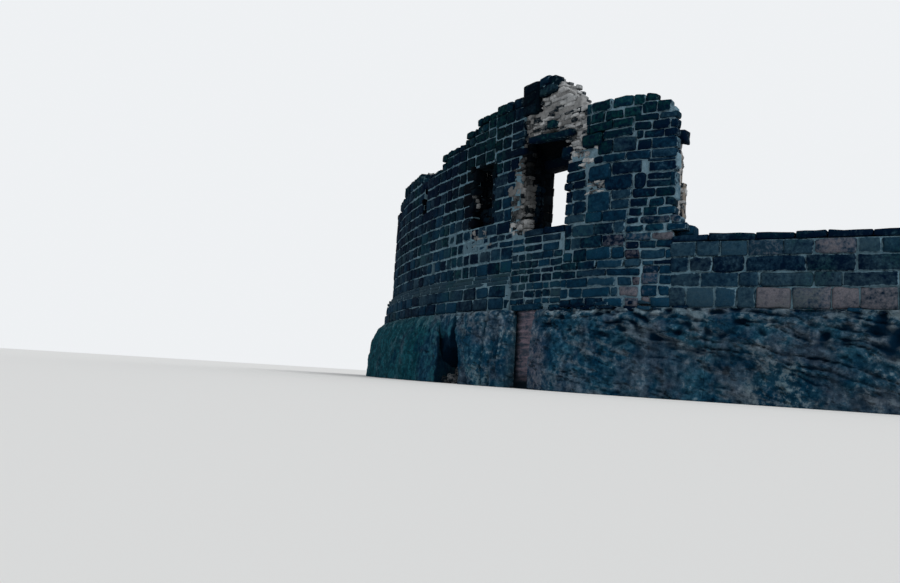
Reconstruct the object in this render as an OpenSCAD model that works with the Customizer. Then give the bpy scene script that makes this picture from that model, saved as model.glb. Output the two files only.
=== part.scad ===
// Ruined castle keep: a curved shell of masonry on bedrock, with a lower curtain wall beside it.
// Every piece is placed by s, the distance along the outer face from the foot of the broken end,
// by d, the depth behind that face, and by z, the height. The curtain wall has negative s.

/* [Plan] */
// Length of curtain wall that is kept beside the high wall
curtain_len = 8800; // [6000:100:12000]
// Straight stretch of the high wall next to its broken end
straight_len = 1100; // [800:50:2000]
// Length of the blunt bend that follows
bend_len = 1600; // [1200:100:3000]
// Turn of that bend, in degrees
bend_turn = 21.5; // [10:0.5:30]
// Length of the long curved face, up to the rounded end
sweep_len = 18500; // [16500:100:21000]
// Turn of the long curved face, in degrees
sweep_turn = 28; // [14:0.5:40]
// Outer radius of the rounded end
end_r = 2100; // [1900:50:3000]
// Turn of the rounded end, in degrees
end_turn = 88; // [70:1:110]
// Length of the wall that returns behind the rounded end
return_len = 5200; // [3500:100:8000]

/* [Wall] */
// Thickness of the dressed outer facing
face_t = 350; // [250:10:450]
// Thickness of the rubble core
core_t = 650; // [400:10:900]
// Thickness of the inner facing
inner_t = 300; // [200:10:400]
// Thickness of the curtain wall
curtain_t = 900; // [600:10:1200]
// Height of a course of stone in the high wall
course_h = 465; // [350:5:550]
// Height of each of the two plinth courses
plinth_h = 450; // [350:10:550]
// Height of a course near the top
top_course_h = 350; // [280:10:420]
// How far a bonding stone runs past its neighbours at a broken edge
tooth = 140; // [60:10:250]
// Depth of bare rubble behind the face, where the facing has been robbed
robbed_d = 110; // [60:10:200]

/* [Heights] */
// Height of the bedrock's level bed, under the walls
bed_z = 2600; // [2000:50:3200]
// Number of whole courses above the offset, at the left end of the wall
left_courses = 11; // [9:1:12]
// Height of the curtain wall under its coping
curtain_h = 1900; // [1400:10:2400]
// Height of the coping stones
coping_h = 200; // [120:10:260]
// Length of a coping stone
coping_len = 1050; // [800:50:1600]
// Joint between two coping stones
coping_joint = 14; // [8:1:30]
// Overhang of the coping on each side of its wall
coping_out = 30; // [0:5:80]

/* [Broken top] */
// Rise of the peak over the level top of the wall
peak_rise = 1465; // [900:5:1800]
// Distance along the wall to the left side of the peak
peak_end_s = 6360; // [6200:10:6700]
// Distance along the wall to the upper step in its top
upper_step_s = 8590; // [8300:10:8900]
// Distance along the wall to the lower step in its top
lower_step_s = 9620; // [9550:10:10500]
// Ends of the low stretch of the top, as distances along the wall
low_top_s = [12120, 15500];
// Distance along the wall where its broken left end begins to step down
end_break_s = 17600; // [16500:50:19000]
// Length of each of those steps
end_step = 850; // [500:50:1100]
// Distances to the ragged end of the facing over the right jamb, for its lower and upper courses
right_break_s = [2300, 3050];
// Where the top courses of the right pier begin, as distances along the wall
right_top_s = [300, 1000];

/* [Plinth] */
// How far the plinth stands proud of the wall above
plinth_out = 280; // [150:10:400]
// Height of each of the three thin offset courses
offset_h = 140; // [100:5:180]
// How far each of them stands back from the one below
offset_in = 60; // [40:5:80]
// How far the thicker foot of the right pier stands proud
pier_foot_out = 100; // [60:10:120]
// Height of that foot's upright face
pier_foot_h = 1150; // [800:10:1400]
// Distance along the wall to the foot's right end
pier_foot_s = 850; // [500:10:1500]

/* [Openings] */
// Distance along the wall to the right jamb of the great window
window_s = 3800; // [3500:10:4200]
// Width of the great window
window_w = 2070; // [1500:10:2300]
// Height of its outer sill
window_sill_z = 5300; // [5000:50:5600]
// Height of its outer opening
window_h = 2990; // [2500:10:3100]
// How much wider the rear half of the window is, on its left
window_splay = 280; // [100:10:350]
// Width of the facing robbed from its left jamb
robbed_w = 380; // [200:10:450]
// Height of its rear opening, over the higher inner sill
window_rear_h = 1950; // [1500:10:2200]
// Step up from the outer sill to the rear sill
rear_step = 250; // [100:10:400]
// Thickness of the great window's outer lintel, and of the one over the recess in the rock
lintel_h = 180; // [150:10:300]
// Thickness of the great window's rear lintel
rear_lintel_h = 400; // [250:10:500]
// Thickness of the sill stones
sill_h = 220; // [150:10:300]
// Distance along the wall to the right jamb of the small window
loop_s = 8020; // [7800:10:8400]
// Width of the small window
loop_w = 1450; // [1000:10:1500]
// Height of the small window, above its core
loop_h = 1700; // [1400:10:2000]
// How far the facing is broken away under the small window
loop_breach = 620; // [300:10:900]
// Number of whole courses of facing left under the small window
loop_courses = 4; // [3:1:5]
// Bearing of a lintel on each jamb
bearing = 150; // [80:10:250]
// Distance along the wall to the right jamb of the slot
slot_s = 14380; // [13800:10:14700]
// Width of the slot
slot_w = 460; // [250:10:600]
// Height of the slot
slot_h = 1130; // [600:10:1300]
// Thickness of the slot's lintel
slot_lintel_h = 320; // [200:10:400]
// Distance along the wall to the stone missing from the second course
putlog_s = 12790; // [12200:10:13500]
// Width of that stone
putlog_w = 370; // [200:10:600]
// Distance along the wall to the pocket in the right pier
pocket_s = 330; // [200:10:400]
// Width, height and depth of the pocket, and its height over the bedrock
pocket = [420, 180, 250, 1050];
// Distance along the wall to the right side of the recess in the rock
niche_s = 4870; // [4500:10:5000]
// Width of the recess
niche_w = 1350; // [900:10:1350]
// Depth of that recess, behind the wall's face
niche_d = 120; // [60:10:250]

/* [Rock] */
// How far the rock reaches behind the wall
rock_back = 1750; // [1500:10:2400]
// Spread of the rock behind the wall, from its bed to its foot
rock_batter = 150; // [0:10:400]
// How far the rock stands out at its foot, right of the recess
rock_foot = 620; // [500:10:900]
// How far it stands out at the rounded end
rock_end_foot = 1100; // [800:10:1500]
// Width of the ledge in front of what stands on the rock
rock_ledge = 120; // [60:10:250]
// Height of the rock's rough swells
rock_swell = 90; // [0:10:120]
// Where the rock under the curtain wall ends, as a distance along the wall
rock_joint_s = -1200; // [-2000:100:-500]
// Distance along the wall to the right side of the cleft
cleft_s = 9500; // [9000:10:10000]
// Width of the cleft
cleft_w = 1400; // [900:10:1600]
// Depth of the cleft behind the wall's face, at the ground
cleft_d = 550; // [300:10:700]
// Length, width and height of the larger fallen stone
fallen = [620, 420, 380];

/* [Hidden] */

// Layers of the wall, as depths behind its outer face
core_d = face_t;
inner_d = face_t + core_t;
wall_t = face_t + core_t + inner_t;
rear_lintel_d = core_d + core_t / 2;

// Ends of the plan's stretches, as distances along the face
bend_s = straight_len;
sweep_s = bend_s + bend_len;
round_s = sweep_s + sweep_len;
return_s = round_s + end_r * end_turn * PI / 180;
finish_s = return_s + return_len;
// Spacing of the corners that a curved stretch is laid out by
station = 500;

// Heights that the courses set
plinth_z = bed_z + 2 * plinth_h;
face_z = plinth_z + 3 * offset_h;
wall_top = face_z + left_courses * course_h;
curtain_z = bed_z + curtain_h;
window_head_z = window_sill_z + window_h;
rear_sill_z = window_sill_z + rear_step;
rear_head_z = rear_sill_z + window_rear_h;
loop_face_z = face_z + loop_courses * course_h;
loop_sill_z = loop_face_z + loop_breach;
loop_head_z = loop_sill_z + loop_h;
sill_bed_z = window_sill_z - sill_h;
rear_lintel_top = rear_head_z + rear_lintel_h;
slot_head_z = wall_top - course_h - slot_lintel_h;
slot_sill_z = slot_head_z - slot_h;
lintel_top_z = window_head_z + lintel_h;
coping_z = curtain_z + coping_h;
low_top = wall_top - course_h;
mid_top = wall_top + 2 * top_course_h;
peak_top = mid_top + 2 * top_course_h;
ledge_z = mid_top + top_course_h;
right_break_z = face_z + (left_courses - 3) * course_h;
end_top = wall_top - 4 * course_h;
end_tooth_z = right_break_z - course_h / 2;
return_low = face_z + 1.5 * course_h;

// Left jambs of the openings, and the sides of the recess and the cleft
window_end = window_s + window_w;
loop_end = loop_s + loop_w;
slot_end = slot_s + slot_w;
rear_end = window_end + window_splay;
infill_end = niche_s + niche_w + 2 * bearing;
niche_end = niche_s + niche_w;
cleft_end = cleft_s + cleft_w;
end_tops = [for (k = [0 : 3]) end_break_s + k * end_step];
// Open joint behind the facing that is left on the peak
back_joint = 20;
// Right end of the rubble core, just behind the broken end of the facing
core_end_s = 60;
// Clearance between a loose stone and what it lies against
seat = 0.3;
// How far the rubble's front lies under the crest of the peak, and how far its back does
crest_drops = [100, 150];
// Back of the great window's outer lintel, a little way into the core
lintel_back_d = core_d + 40;
// Places at which a node's layouts also get a corner, so that strips on one another share their edges
$marks = [];

face_color = [0.13, 0.17, 0.20];
low_color = [0.17, 0.22, 0.24];
core_color = [0.56, 0.53, 0.50];
inner_color = [0.30, 0.29, 0.28];
rock_color = [0.23, 0.28, 0.26];
red_color = [0.42, 0.33, 0.32];
coping_color = [0.22, 0.22, 0.23];

// Direction of the face at s, in degrees: 0 along the curtain wall, growing as the wall turns back
function turn(s) =
    s <= bend_s ? 0
    : s <= sweep_s ? bend_turn * (s - bend_s) / bend_len
    : s <= round_s ? bend_turn + sweep_turn * (s - sweep_s) / sweep_len
    : s <= return_s ? bend_turn + sweep_turn + (s - round_s) / end_r * 180 / PI
    : bend_turn + sweep_turn + end_turn;

// End of an arc that starts at p with turn a0 and ends at turn a1
function arc_to(p, r, a0, a1) = p + r * [sin(a0) - sin(a1), cos(a0) - cos(a1)];

bend_r = bend_len * 180 / PI / bend_turn;
sweep_r = sweep_len * 180 / PI / sweep_turn;
bend_p = [-straight_len, 0];
sweep_p = arc_to(bend_p, bend_r, 0, bend_turn);
round_p = arc_to(sweep_p, sweep_r, bend_turn, turn(round_s));
return_p = arc_to(round_p, end_r, turn(round_s), turn(return_s));

// Point of the outer face at s
function on_face(s) =
    s <= bend_s ? [-s, 0]
    : s <= sweep_s ? arc_to(bend_p, bend_r, 0, turn(s))
    : s <= round_s ? arc_to(sweep_p, sweep_r, bend_turn, turn(s))
    : s <= return_s ? arc_to(round_p, end_r, turn(round_s), turn(s))
    : return_p + (s - return_s) * [-cos(turn(s)), sin(turn(s))];

function inward(s) = [sin(turn(s)), cos(turn(s))];

// Point at s and d, on the straight chord between the two nearest stations
function lay(s, d) =
    let (k = floor(s / station), t = s / station - k, a = k * station, b = a + station)
    (1 - t) * (on_face(a) + d * inward(a)) + t * (on_face(b) + d * inward(b));

// List in rising order, with each value once
function sorted(list) =
    len(list) == 0 ? []
    : concat(
        sorted([for (v = list) if (v < list[0]) v]),
        [list[0]],
        sorted([for (v = list) if (v > list[0]) v])
    );

// Both ends of a stretch and the stations and marks between them
function stops(sa, sb) = concat(
    [sa],
    sorted(concat(
        [for (k = [ceil((sa + 1) / station) : floor((sb - 1) / station)]) k * station],
        [for (s = $marks) if (s > sa + 1 && s < sb - 1) s]
    )),
    [sb]
);

// Upright strip of wall from sa to sb, between two depths and two heights
module strip(sa, sb, d0, d1, z0, z1) {
    line = stops(sa, sb);
    n = len(line);
    translate([0, 0, z0])
        linear_extrude(z1 - z0)
            polygon(concat(
                [for (i = [n - 1 : -1 : 0]) lay(line[i], d0)],
                [for (i = [0 : n - 1]) lay(line[i], d1)]
            ));
}

// Strips side by side on one foot, each given as [sa, sb, top]
module stepped(tops, d0, d1, z0) {
    for (t = tops) strip(t[0], t[1], d0, d1, z0, t[2]);
}

// Courses from z0 up to z1, whose ends run out by turns: by out_a at sa and by out_b at sb
module bonded(sa, sb, d0, d1, z0, z1, out_a, out_b, h = course_h) {
    n = max(1, round((z1 - z0) / h));
    bed = function(k) round(z0 + k * (z1 - z0) / n);
    for (k = [0 : n - 1])
        strip(sa - (k % 2) * out_a, sb + ((k + 1) % 2) * out_b, d0, d1, bed(k), bed(k + 1));
}

// Body whose section changes along the wall: ring(s) gives the same number of [d, z] corners at any s
module loft(sa, sb, ring) {
    line = stops(sa, sb);
    n = len(line);
    m = len(ring(sa));
    points = [for (s = line) for (p = ring(s)) let (q = lay(s, p[0])) [q[0], q[1], p[1]]];
    sides = [for (i = [0 : n - 2]) for (j = [0 : m - 1])
        let (a = i * m + j, b = i * m + (j + 1) % m)
        each [[a, b, b + m], [a, b + m, a + m]]];
    caps = [[for (j = [m - 1 : -1 : 0]) j], [for (j = [0 : m - 1]) (n - 1) * m + j]];
    polyhedron(points, concat(sides, caps), convexity = 6);
}

// Height of the ragged crest of rubble round the peak
crest_shape = [
    [-0.4, 0], [-0.28, 0.12], [-0.05, 0.37], [0.06, 0.58],
    [0.28, 0.8], [0.5, 0.97], [0.77, 1], [1, 0.9]
];
function crest(s) = wall_top + peak_rise * lookup((s - window_s) / window_w, crest_shape);

// Rubble with a top that follows top(s), lower at its back by drop
module core(sa, sb, z0, top, drop = 120) {
    loft(sa, sb, function(s) [[core_d, z0], [core_d, top(s)], [inner_d, top(s) - drop], [inner_d, z0]]);
}

// Rough swell of the rock at s and height z
function swell(s, z) = rock_swell * (sin(s / 9 + z / 14) + 0.6 * sin(s / 4.3 - z / 6));

// How far the rock stands out at its foot, and the ledge it leaves in front of the wall or plinth
function foot(s) = lookup(s, [[niche_end, rock_foot], [round_s, rock_end_foot]]);
function ledge(s) = lookup(s, [[niche_end, rock_ledge], [infill_end, plinth_out + rock_ledge]]);

// Section of the rock: a level bed, a ledge, and a rough face that leans out to the foot
function rock_out(s, share) = -(1 - share) * ledge(s) - share * foot(s);
function rock_ring(s) = [
    [rock_out(s, 1) + swell(s, 0), 0],
    [rock_out(s, 0.9) + swell(s, 900), 0.34 * bed_z],
    [rock_out(s, 0.7) + swell(s, 1700), 0.66 * bed_z],
    [rock_out(s, 0.2) + 0.3 * swell(s, 2300), 0.9 * bed_z],
    [-ledge(s), bed_z],
    [rock_back, bed_z],
    [rock_back + rock_batter, 0]
];

module rock_curtain() {
    color(rock_color) loft(-curtain_len, rock_joint_s, function(s) rock_ring(s));
}

module rock_right() {
    color(rock_color) loft(rock_joint_s, niche_s, function(s) rock_ring(s));
}

module niche_back() {
    color(red_color) strip(niche_s, niche_end, niche_d, rock_back, 0, bed_z);
}

module niche_lintel() {
    color(low_color)
        strip(niche_s - bearing, niche_end + bearing, -rock_ledge / 2, face_t, bed_z, bed_z + lintel_h);
}

module rock_middle() {
    color(rock_color) loft(niche_end, cleft_s, function(s) rock_ring(s));
}

// Depth of the cleft's back, at height z
function cleft_back(z) = cleft_d * (1 - 0.2 * z / bed_z);

module rock_cleft() {
    color(rock_color) loft(cleft_s, cleft_end, function(s) [
        [cleft_back(0), 0],
        [cleft_back(0.62 * bed_z), 0.62 * bed_z],
        [rock_out(s, 0.65), 0.7 * bed_z],
        [rock_out(s, 0.2), 0.9 * bed_z],
        [-ledge(s), bed_z],
        [rock_back, bed_z],
        [rock_back + rock_batter, 0]
    ]);
}

// One fallen stone, lying on the ground and against the cleft's back
module boulder(s, size) {
    translate(concat(lay(s, cleft_back(size[2] / 2) - size[1] / 2 - seat), size[2] / 2))
        rotate(-turn(s))
            resize(size)
                sphere(d = 100, $fn = 10);
}

module cleft_stones() {
    color(core_color) {
        boulder(cleft_s + cleft_w / 3, fallen);
        boulder(cleft_s + cleft_w * 0.73, fallen * 0.75);
    }
}

module rock_left() {
    color(rock_color) loft(cleft_end, round_s, function(s) rock_ring(s));
}

module rock_end() {
    color(rock_color) loft(round_s, return_s, function(s) rock_ring(s));
}

module rock_return() {
    color(rock_color) loft(return_s, finish_s, function(s) rock_ring(s));
}

module plinth_courses() {
    color(low_color) {
        strip(infill_end, return_s, -plinth_out, face_t, bed_z, bed_z + plinth_h);
        strip(infill_end, return_s, offset_in - plinth_out, face_t, bed_z + plinth_h, plinth_z);
    }
}

module offset_courses() {
    color(low_color)
        for (k = [0 : 2])
            strip(infill_end, return_s, (k + 2) * offset_in - plinth_out, face_t,
                plinth_z + k * offset_h, plinth_z + (k + 1) * offset_h);
}

// Beds of the lintels; to clear one out of the jambs that carry it, it runs past the wall's faces
module window_lintel_bed() {
    strip(window_s - bearing, window_end + bearing, robbed_d / 3, lintel_back_d,
        window_head_z, lintel_top_z);
}

module rear_lintel_bed(past = bearing) {
    strip(window_s - bearing, rear_end + bearing, rear_lintel_d, wall_t + past,
        rear_head_z, rear_lintel_top);
}

// Space by which the rear half of the great window is wider, above z0
module rear_splay(z0) {
    strip(window_end - bearing, rear_end, rear_lintel_d, wall_t + bearing, z0, rear_head_z);
}

module slot_lintel_bed(past = bearing) {
    strip(slot_s - bearing, slot_end + bearing, -past, wall_t + past,
        slot_head_z, slot_head_z + slot_lintel_h);
}

module face_right_pier() {
    half = course_h / 2;
    foot_z = bed_z + pier_foot_h;
    pocket_z = bed_z + pocket[3];
    $marks = concat([pier_foot_s, window_s - tooth], right_break_s, right_top_s);
    color(face_color) difference() {
        union() {
            strip(0, window_s, 0, face_t, bed_z, window_sill_z);
            bonded(0, window_s, 0, face_t, window_sill_z, right_break_z, tooth, -tooth);
            strip(0, right_break_s[0], 0, face_t, right_break_z, right_break_z + course_h);
            strip(0, right_break_s[1], 0, face_t, right_break_z + course_h, wall_top - 2 * half);
            strip(right_top_s[0], right_break_s[1], 0, face_t, wall_top - 2 * half, wall_top - half);
            strip(right_top_s[1], right_break_s[1], 0, face_t, wall_top - half, wall_top);
            for (k = [0 : 3])
                strip(pier_foot_s, window_s, -pier_foot_out * (1 - k / 4), face_t,
                    k == 0 ? bed_z : foot_z + (k - 1) * pier_foot_out / 2, foot_z + k * pier_foot_out / 2);
        }
        strip(pocket_s, pocket_s + pocket[0], -face_t, pocket[2], pocket_z, pocket_z + pocket[1]);
    }
}

module face_infill() {
    $marks = [niche_s - bearing, niche_end + bearing, window_end];
    color(low_color) {
        strip(window_s, niche_s - bearing, 0, face_t, bed_z, bed_z + lintel_h);
        strip(niche_end + bearing, infill_end, 0, face_t, bed_z, bed_z + lintel_h);
        strip(window_s, infill_end, 0, face_t, bed_z + lintel_h, sill_bed_z);
        strip(window_end, infill_end, 0, face_t, sill_bed_z, window_sill_z);
    }
}

module face_mid_pier() {
    jamb_s = window_end + robbed_w;
    peak_s = [window_end - 3 * robbed_w, window_end - robbed_w];
    $marks = concat(peak_s, [jamb_s, peak_end_s, loop_s - tooth, loop_s]);
    color(face_color) {
        strip(infill_end, loop_end, 0, face_t, face_z, window_sill_z);
        strip(jamb_s, loop_end, 0, face_t, window_sill_z, loop_face_z);
        bonded(jamb_s, loop_s, 0, face_t, loop_face_z, mid_top, 0, -tooth);
        strip(peak_s[1], peak_end_s, 0, face_t, mid_top, ledge_z);
        strip(peak_s[0], peak_end_s, 0, face_t, ledge_z, peak_top);
    }
}

module face_small_window_head() {
    color(face_color)
        stepped([[loop_s, upper_step_s, mid_top], [upper_step_s, loop_end, wall_top + top_course_h]],
            0, face_t, loop_head_z);
}

module face_long_pier() {
    putlog_z = face_z + course_h;
    $marks = [lower_step_s, low_top_s[0], slot_s];
    color(face_color) difference() {
        union() {
            strip(loop_end, slot_end, 0, face_t, face_z, slot_sill_z);
            strip(loop_end, slot_s, 0, face_t, slot_sill_z, low_top);
            strip(loop_end, low_top_s[0], 0, face_t, low_top, wall_top);
            strip(loop_end, lower_step_s, 0, face_t, wall_top, wall_top + top_course_h);
        }
        slot_lintel_bed();
        strip(putlog_s, putlog_s + putlog_w, -face_t, face_t + 1, putlog_z, putlog_z + course_h);
    }
}

// Tops of the broken left end, a course lower at each step
end_steps = [
    [end_tops[0], end_tops[1], low_top],
    [end_tops[1], end_tops[2], low_top - course_h],
    [end_tops[2], round_s, low_top - 2 * course_h]
];

module face_end_pier() {
    color(face_color) difference() {
        union() {
            strip(slot_end, low_top_s[1], 0, face_t, face_z, low_top);
            strip(low_top_s[1], end_break_s, 0, face_t, face_z, wall_top);
            stepped(end_steps, 0, face_t, face_z);
        }
        slot_lintel_bed();
    }
}

module face_round_end() {
    color(face_color) strip(round_s, return_s, 0, face_t, face_z, end_top);
}

module face_return() {
    ends = [for (k = [0 : 3]) finish_s - k * return_len / 5];
    $marks = ends;
    color(face_color)
        for (k = [0 : 3])
            strip(return_s, ends[k], 0, face_t,
                k == 0 ? bed_z : face_z + (k * 2 - 1) * course_h,
                min(face_z + (k * 2 + 1) * course_h, end_top));
}

module core_right_pier() {
    color(core_color) difference() {
        core(core_end_s, window_s, bed_z, function(s)
            s < right_top_s[1] ? low_top - course_h * (1 - s / right_top_s[1]) : crest(s) - crest_drops[0]);
        window_lintel_bed();
        rear_lintel_bed();
    }
}

// Bare rubble of the right jamb, nearly flush with the face that was robbed from it
module core_right_jamb() {
    half_s = (right_break_s[1] + window_s) / 2;
    upper_z = right_break_z + course_h;
    $marks = [right_break_s[1], half_s];
    color(core_color) difference() {
        union() {
            strip(right_break_s[0], window_s, robbed_d, core_d, right_break_z, upper_z);
            strip(right_break_s[1], half_s, robbed_d, core_d, upper_z, low_top + course_h);
            strip(half_s, window_s, robbed_d, core_d, upper_z, low_top + 2 * course_h);
        }
        window_lintel_bed();
    }
}

module core_under_window() {
    color(core_color) strip(window_s, window_end, core_d, inner_d, bed_z, window_sill_z);
}

module core_peak() {
    color(core_color)
        loft(window_s, window_end, function(s)
            let (seat_z = min(crest(s) - crest_drops[0], ledge_z))
            [
                [robbed_d, lintel_top_z],
                [1.5 * robbed_d, s > window_end - robbed_w ? mid_top : seat_z],
                [core_d + back_joint, s > window_end - robbed_w ? mid_top : seat_z],
                [core_d + back_joint, crest(s)],
                [inner_d, crest(s) - crest_drops[1]],
                [inner_d, rear_lintel_top],
                [rear_lintel_d, rear_lintel_top],
                [lintel_back_d, window_head_z],
                [lintel_back_d, lintel_top_z]
            ]);
}

module core_mid_pier() {
    $marks = [rear_end, window_end + robbed_w, peak_end_s, loop_s];
    color(core_color) difference() {
        union() {
            strip(window_end, loop_end, core_d, inner_d, bed_z, loop_sill_z);
            strip(window_end, loop_s, core_d, inner_d, loop_sill_z, mid_top);
            strip(window_end, peak_end_s, core_d, inner_d, mid_top, ledge_z);
            strip(window_end, window_end + robbed_w, robbed_d, core_d, window_sill_z, mid_top);
        }
        window_lintel_bed();
        rear_lintel_bed();
        rear_splay(window_sill_z);
    }
}

module core_small_window_head() {
    color(core_color) strip(loop_s, loop_end, core_d, inner_d, loop_head_z, wall_top + top_course_h);
}

module core_long_pier() {
    $marks = [slot_s];
    color(core_color) difference() {
        union() {
            strip(loop_end, slot_end, core_d, inner_d, bed_z, slot_sill_z);
            strip(loop_end, slot_s, core_d, inner_d, slot_sill_z, low_top);
        }
        slot_lintel_bed();
    }
}

module core_end_pier() {
    color(core_color) difference() {
        union() {
            strip(slot_end, end_break_s, core_d, inner_d, bed_z, low_top);
            stepped([for (t = end_steps) [t[0], t[1], t[2] - course_h / 2]], core_d, inner_d, bed_z);
        }
        slot_lintel_bed();
    }
}

module core_round_end() {
    color(core_color) strip(round_s, return_s, core_d, wall_t, bed_z, end_top - course_h / 2);
}

module core_return() {
    color(core_color)
        core(return_s, finish_s, bed_z, function(s)
            end_top - course_h / 2 - (end_top - course_h / 2 - return_low) * (s - return_s) / return_len);
}

module inner_right_pier() {
    color(inner_color) difference() {
        union() {
            strip(0, window_s, inner_d, wall_t, bed_z, coping_z);
            strip(0, window_s, inner_d, wall_t, coping_z, end_tooth_z - 2 * course_h);
            strip(tooth, window_s, inner_d, wall_t, end_tooth_z - 2 * course_h, end_tooth_z);
            strip(2 * tooth, window_s, inner_d, wall_t, end_tooth_z, low_top - course_h / 2);
        }
        rear_lintel_bed();
    }
}

module inner_under_window() {
    color(inner_color) strip(window_s, window_end, inner_d, wall_t, bed_z, rear_sill_z);
}

module inner_mid_pier() {
    $marks = [rear_end, loop_s];
    color(inner_color) difference() {
        union() {
            strip(window_end, loop_end, inner_d, wall_t, bed_z, loop_sill_z);
            strip(window_end, loop_s, inner_d, wall_t, loop_sill_z, wall_top);
        }
        rear_lintel_bed();
        rear_splay(rear_sill_z);
    }
}

module inner_small_window_head() {
    color(inner_color) strip(loop_s, loop_end, inner_d, wall_t, loop_head_z, wall_top);
}

module inner_long_pier() {
    $marks = [slot_s];
    color(inner_color) difference() {
        union() {
            strip(loop_end, slot_end, inner_d, wall_t, bed_z, slot_sill_z);
            strip(loop_end, slot_s, inner_d, wall_t, slot_sill_z, low_top);
        }
        slot_lintel_bed();
    }
}

module inner_end_pier() {
    color(inner_color) difference() {
        union() {
            strip(slot_end, end_break_s, inner_d, wall_t, bed_z, low_top);
            stepped([for (t = end_steps) [t[0], t[1], t[2] - course_h]], inner_d, wall_t, bed_z);
        }
        slot_lintel_bed();
    }
}

module inner_return() {
    color(inner_color)
        strip(return_s, finish_s - return_len / 6, inner_d, wall_t, bed_z, face_z + 3 * course_h);
}

module inner_window_head() {
    color(inner_color) strip(window_s, window_end, inner_d, wall_t, rear_lintel_top, wall_top);
}

module window_lintel() {
    color(low_color) window_lintel_bed();
}

module window_rear_lintel() {
    color(inner_color) rear_lintel_bed(0);
}

module window_sill() {
    color(low_color) strip(window_s, window_end, 0, core_d, sill_bed_z, window_sill_z);
}

module slot_lintel() {
    color(face_color) slot_lintel_bed(0);
}

// Bonding stones that once ran on into the next wall: one high up, one in the facing over the
// coping, and one that lies on the coping
module broken_end_teeth() {
    stone_h = 0.8 * course_h;
    facing_z = face_z + 2 * course_h;
    color(face_color) {
        strip(-2 * tooth, core_end_s, core_d, core_d + 0.8 * core_t, end_tooth_z, end_tooth_z + stone_h);
        strip(-2.5 * tooth, 0, 0, core_d, facing_z, facing_z + stone_h);
        strip(-4 * tooth, 0, core_d, curtain_t, coping_z, coping_z + stone_h);
    }
}

module curtain_wall() {
    color(low_color) strip(-curtain_len, 0, 0, curtain_t, bed_z, curtain_z);
}

module curtain_coping() {
    n = floor(curtain_len / coping_len);
    each_len = curtain_len / n;
    color(coping_color)
        for (k = [0 : n - 1])
            strip(-curtain_len + k * each_len + coping_joint, -curtain_len + (k + 1) * each_len,
                -coping_out, curtain_t + coping_out, curtain_z, coping_z);
}

rock_curtain();
rock_right();
niche_back();
niche_lintel();
rock_middle();
rock_cleft();
cleft_stones();
rock_left();
rock_end();
rock_return();
plinth_courses();
offset_courses();
face_right_pier();
face_infill();
face_mid_pier();
face_small_window_head();
face_long_pier();
face_end_pier();
face_round_end();
face_return();
core_right_pier();
core_right_jamb();
core_under_window();
core_peak();
core_mid_pier();
core_small_window_head();
core_long_pier();
core_end_pier();
core_round_end();
core_return();
inner_right_pier();
inner_under_window();
inner_window_head();
inner_mid_pier();
inner_small_window_head();
inner_long_pier();
inner_end_pier();
inner_return();
window_lintel();
window_rear_lintel();
window_sill();
slot_lintel();
broken_end_teeth();
curtain_wall();
curtain_coping();
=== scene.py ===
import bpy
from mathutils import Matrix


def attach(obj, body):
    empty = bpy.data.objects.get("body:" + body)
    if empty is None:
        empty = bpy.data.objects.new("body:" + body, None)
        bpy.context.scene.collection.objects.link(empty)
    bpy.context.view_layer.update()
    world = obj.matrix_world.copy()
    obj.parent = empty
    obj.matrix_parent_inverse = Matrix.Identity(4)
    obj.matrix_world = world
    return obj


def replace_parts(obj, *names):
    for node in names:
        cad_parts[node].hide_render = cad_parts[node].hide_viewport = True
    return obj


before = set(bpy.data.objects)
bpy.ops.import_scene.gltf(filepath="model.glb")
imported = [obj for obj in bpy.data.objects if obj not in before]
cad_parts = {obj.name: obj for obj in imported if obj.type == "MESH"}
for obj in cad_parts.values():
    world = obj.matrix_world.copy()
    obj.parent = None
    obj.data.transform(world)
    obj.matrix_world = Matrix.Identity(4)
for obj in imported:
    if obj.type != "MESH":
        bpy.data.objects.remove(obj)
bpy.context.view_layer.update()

import random
from bisect import bisect
from math import ceil, cos, exp, pi, radians, sin

import bmesh
import bpy
from mathutils import Euler, Matrix, Vector, noise

# Viewpoint
# The keep is seen from outside, from a little to its right, from low on the
# slope in front of it, with the head tipped back and a little to one side.
camera_data = bpy.data.cameras.new("viewpoint")
camera_data.sensor_width, camera_data.lens, camera_data.clip_end = 36.0, 35.0, 900.0
camera = bpy.data.objects.new("viewpoint", camera_data)
camera.location = (7.957, -24.52, 0.30)
view_yaw, view_pitch, view_roll = radians(32.09), radians(5.45), radians(3.5)
camera.rotation_mode = "QUATERNION"
camera.rotation_quaternion = (
    Matrix.Rotation(view_yaw, 3, "Z")
    @ Matrix.Rotation(pi / 2 + view_pitch, 3, "X")
    @ Matrix.Rotation(view_roll, 3, "Z")
).to_quaternion()
bpy.context.collection.objects.link(camera)
bpy.context.scene.camera = camera
bpy.context.scene.view_settings.view_transform = "Standard"

# Floor and daylight
# A plain pale floor, an even pale sky, and one wide soft lamp, at a level at
# which each colour renders about as it is written.
floor_size, floor_color = 700.0, (0.80, 0.80, 0.79)
sky_color, sky_light = (0.86, 0.88, 0.90), 0.58
lamp_power, lamp_width = 1.9, radians(25)
lamp_turn = Euler((radians(52), radians(8), radians(62)))


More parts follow.
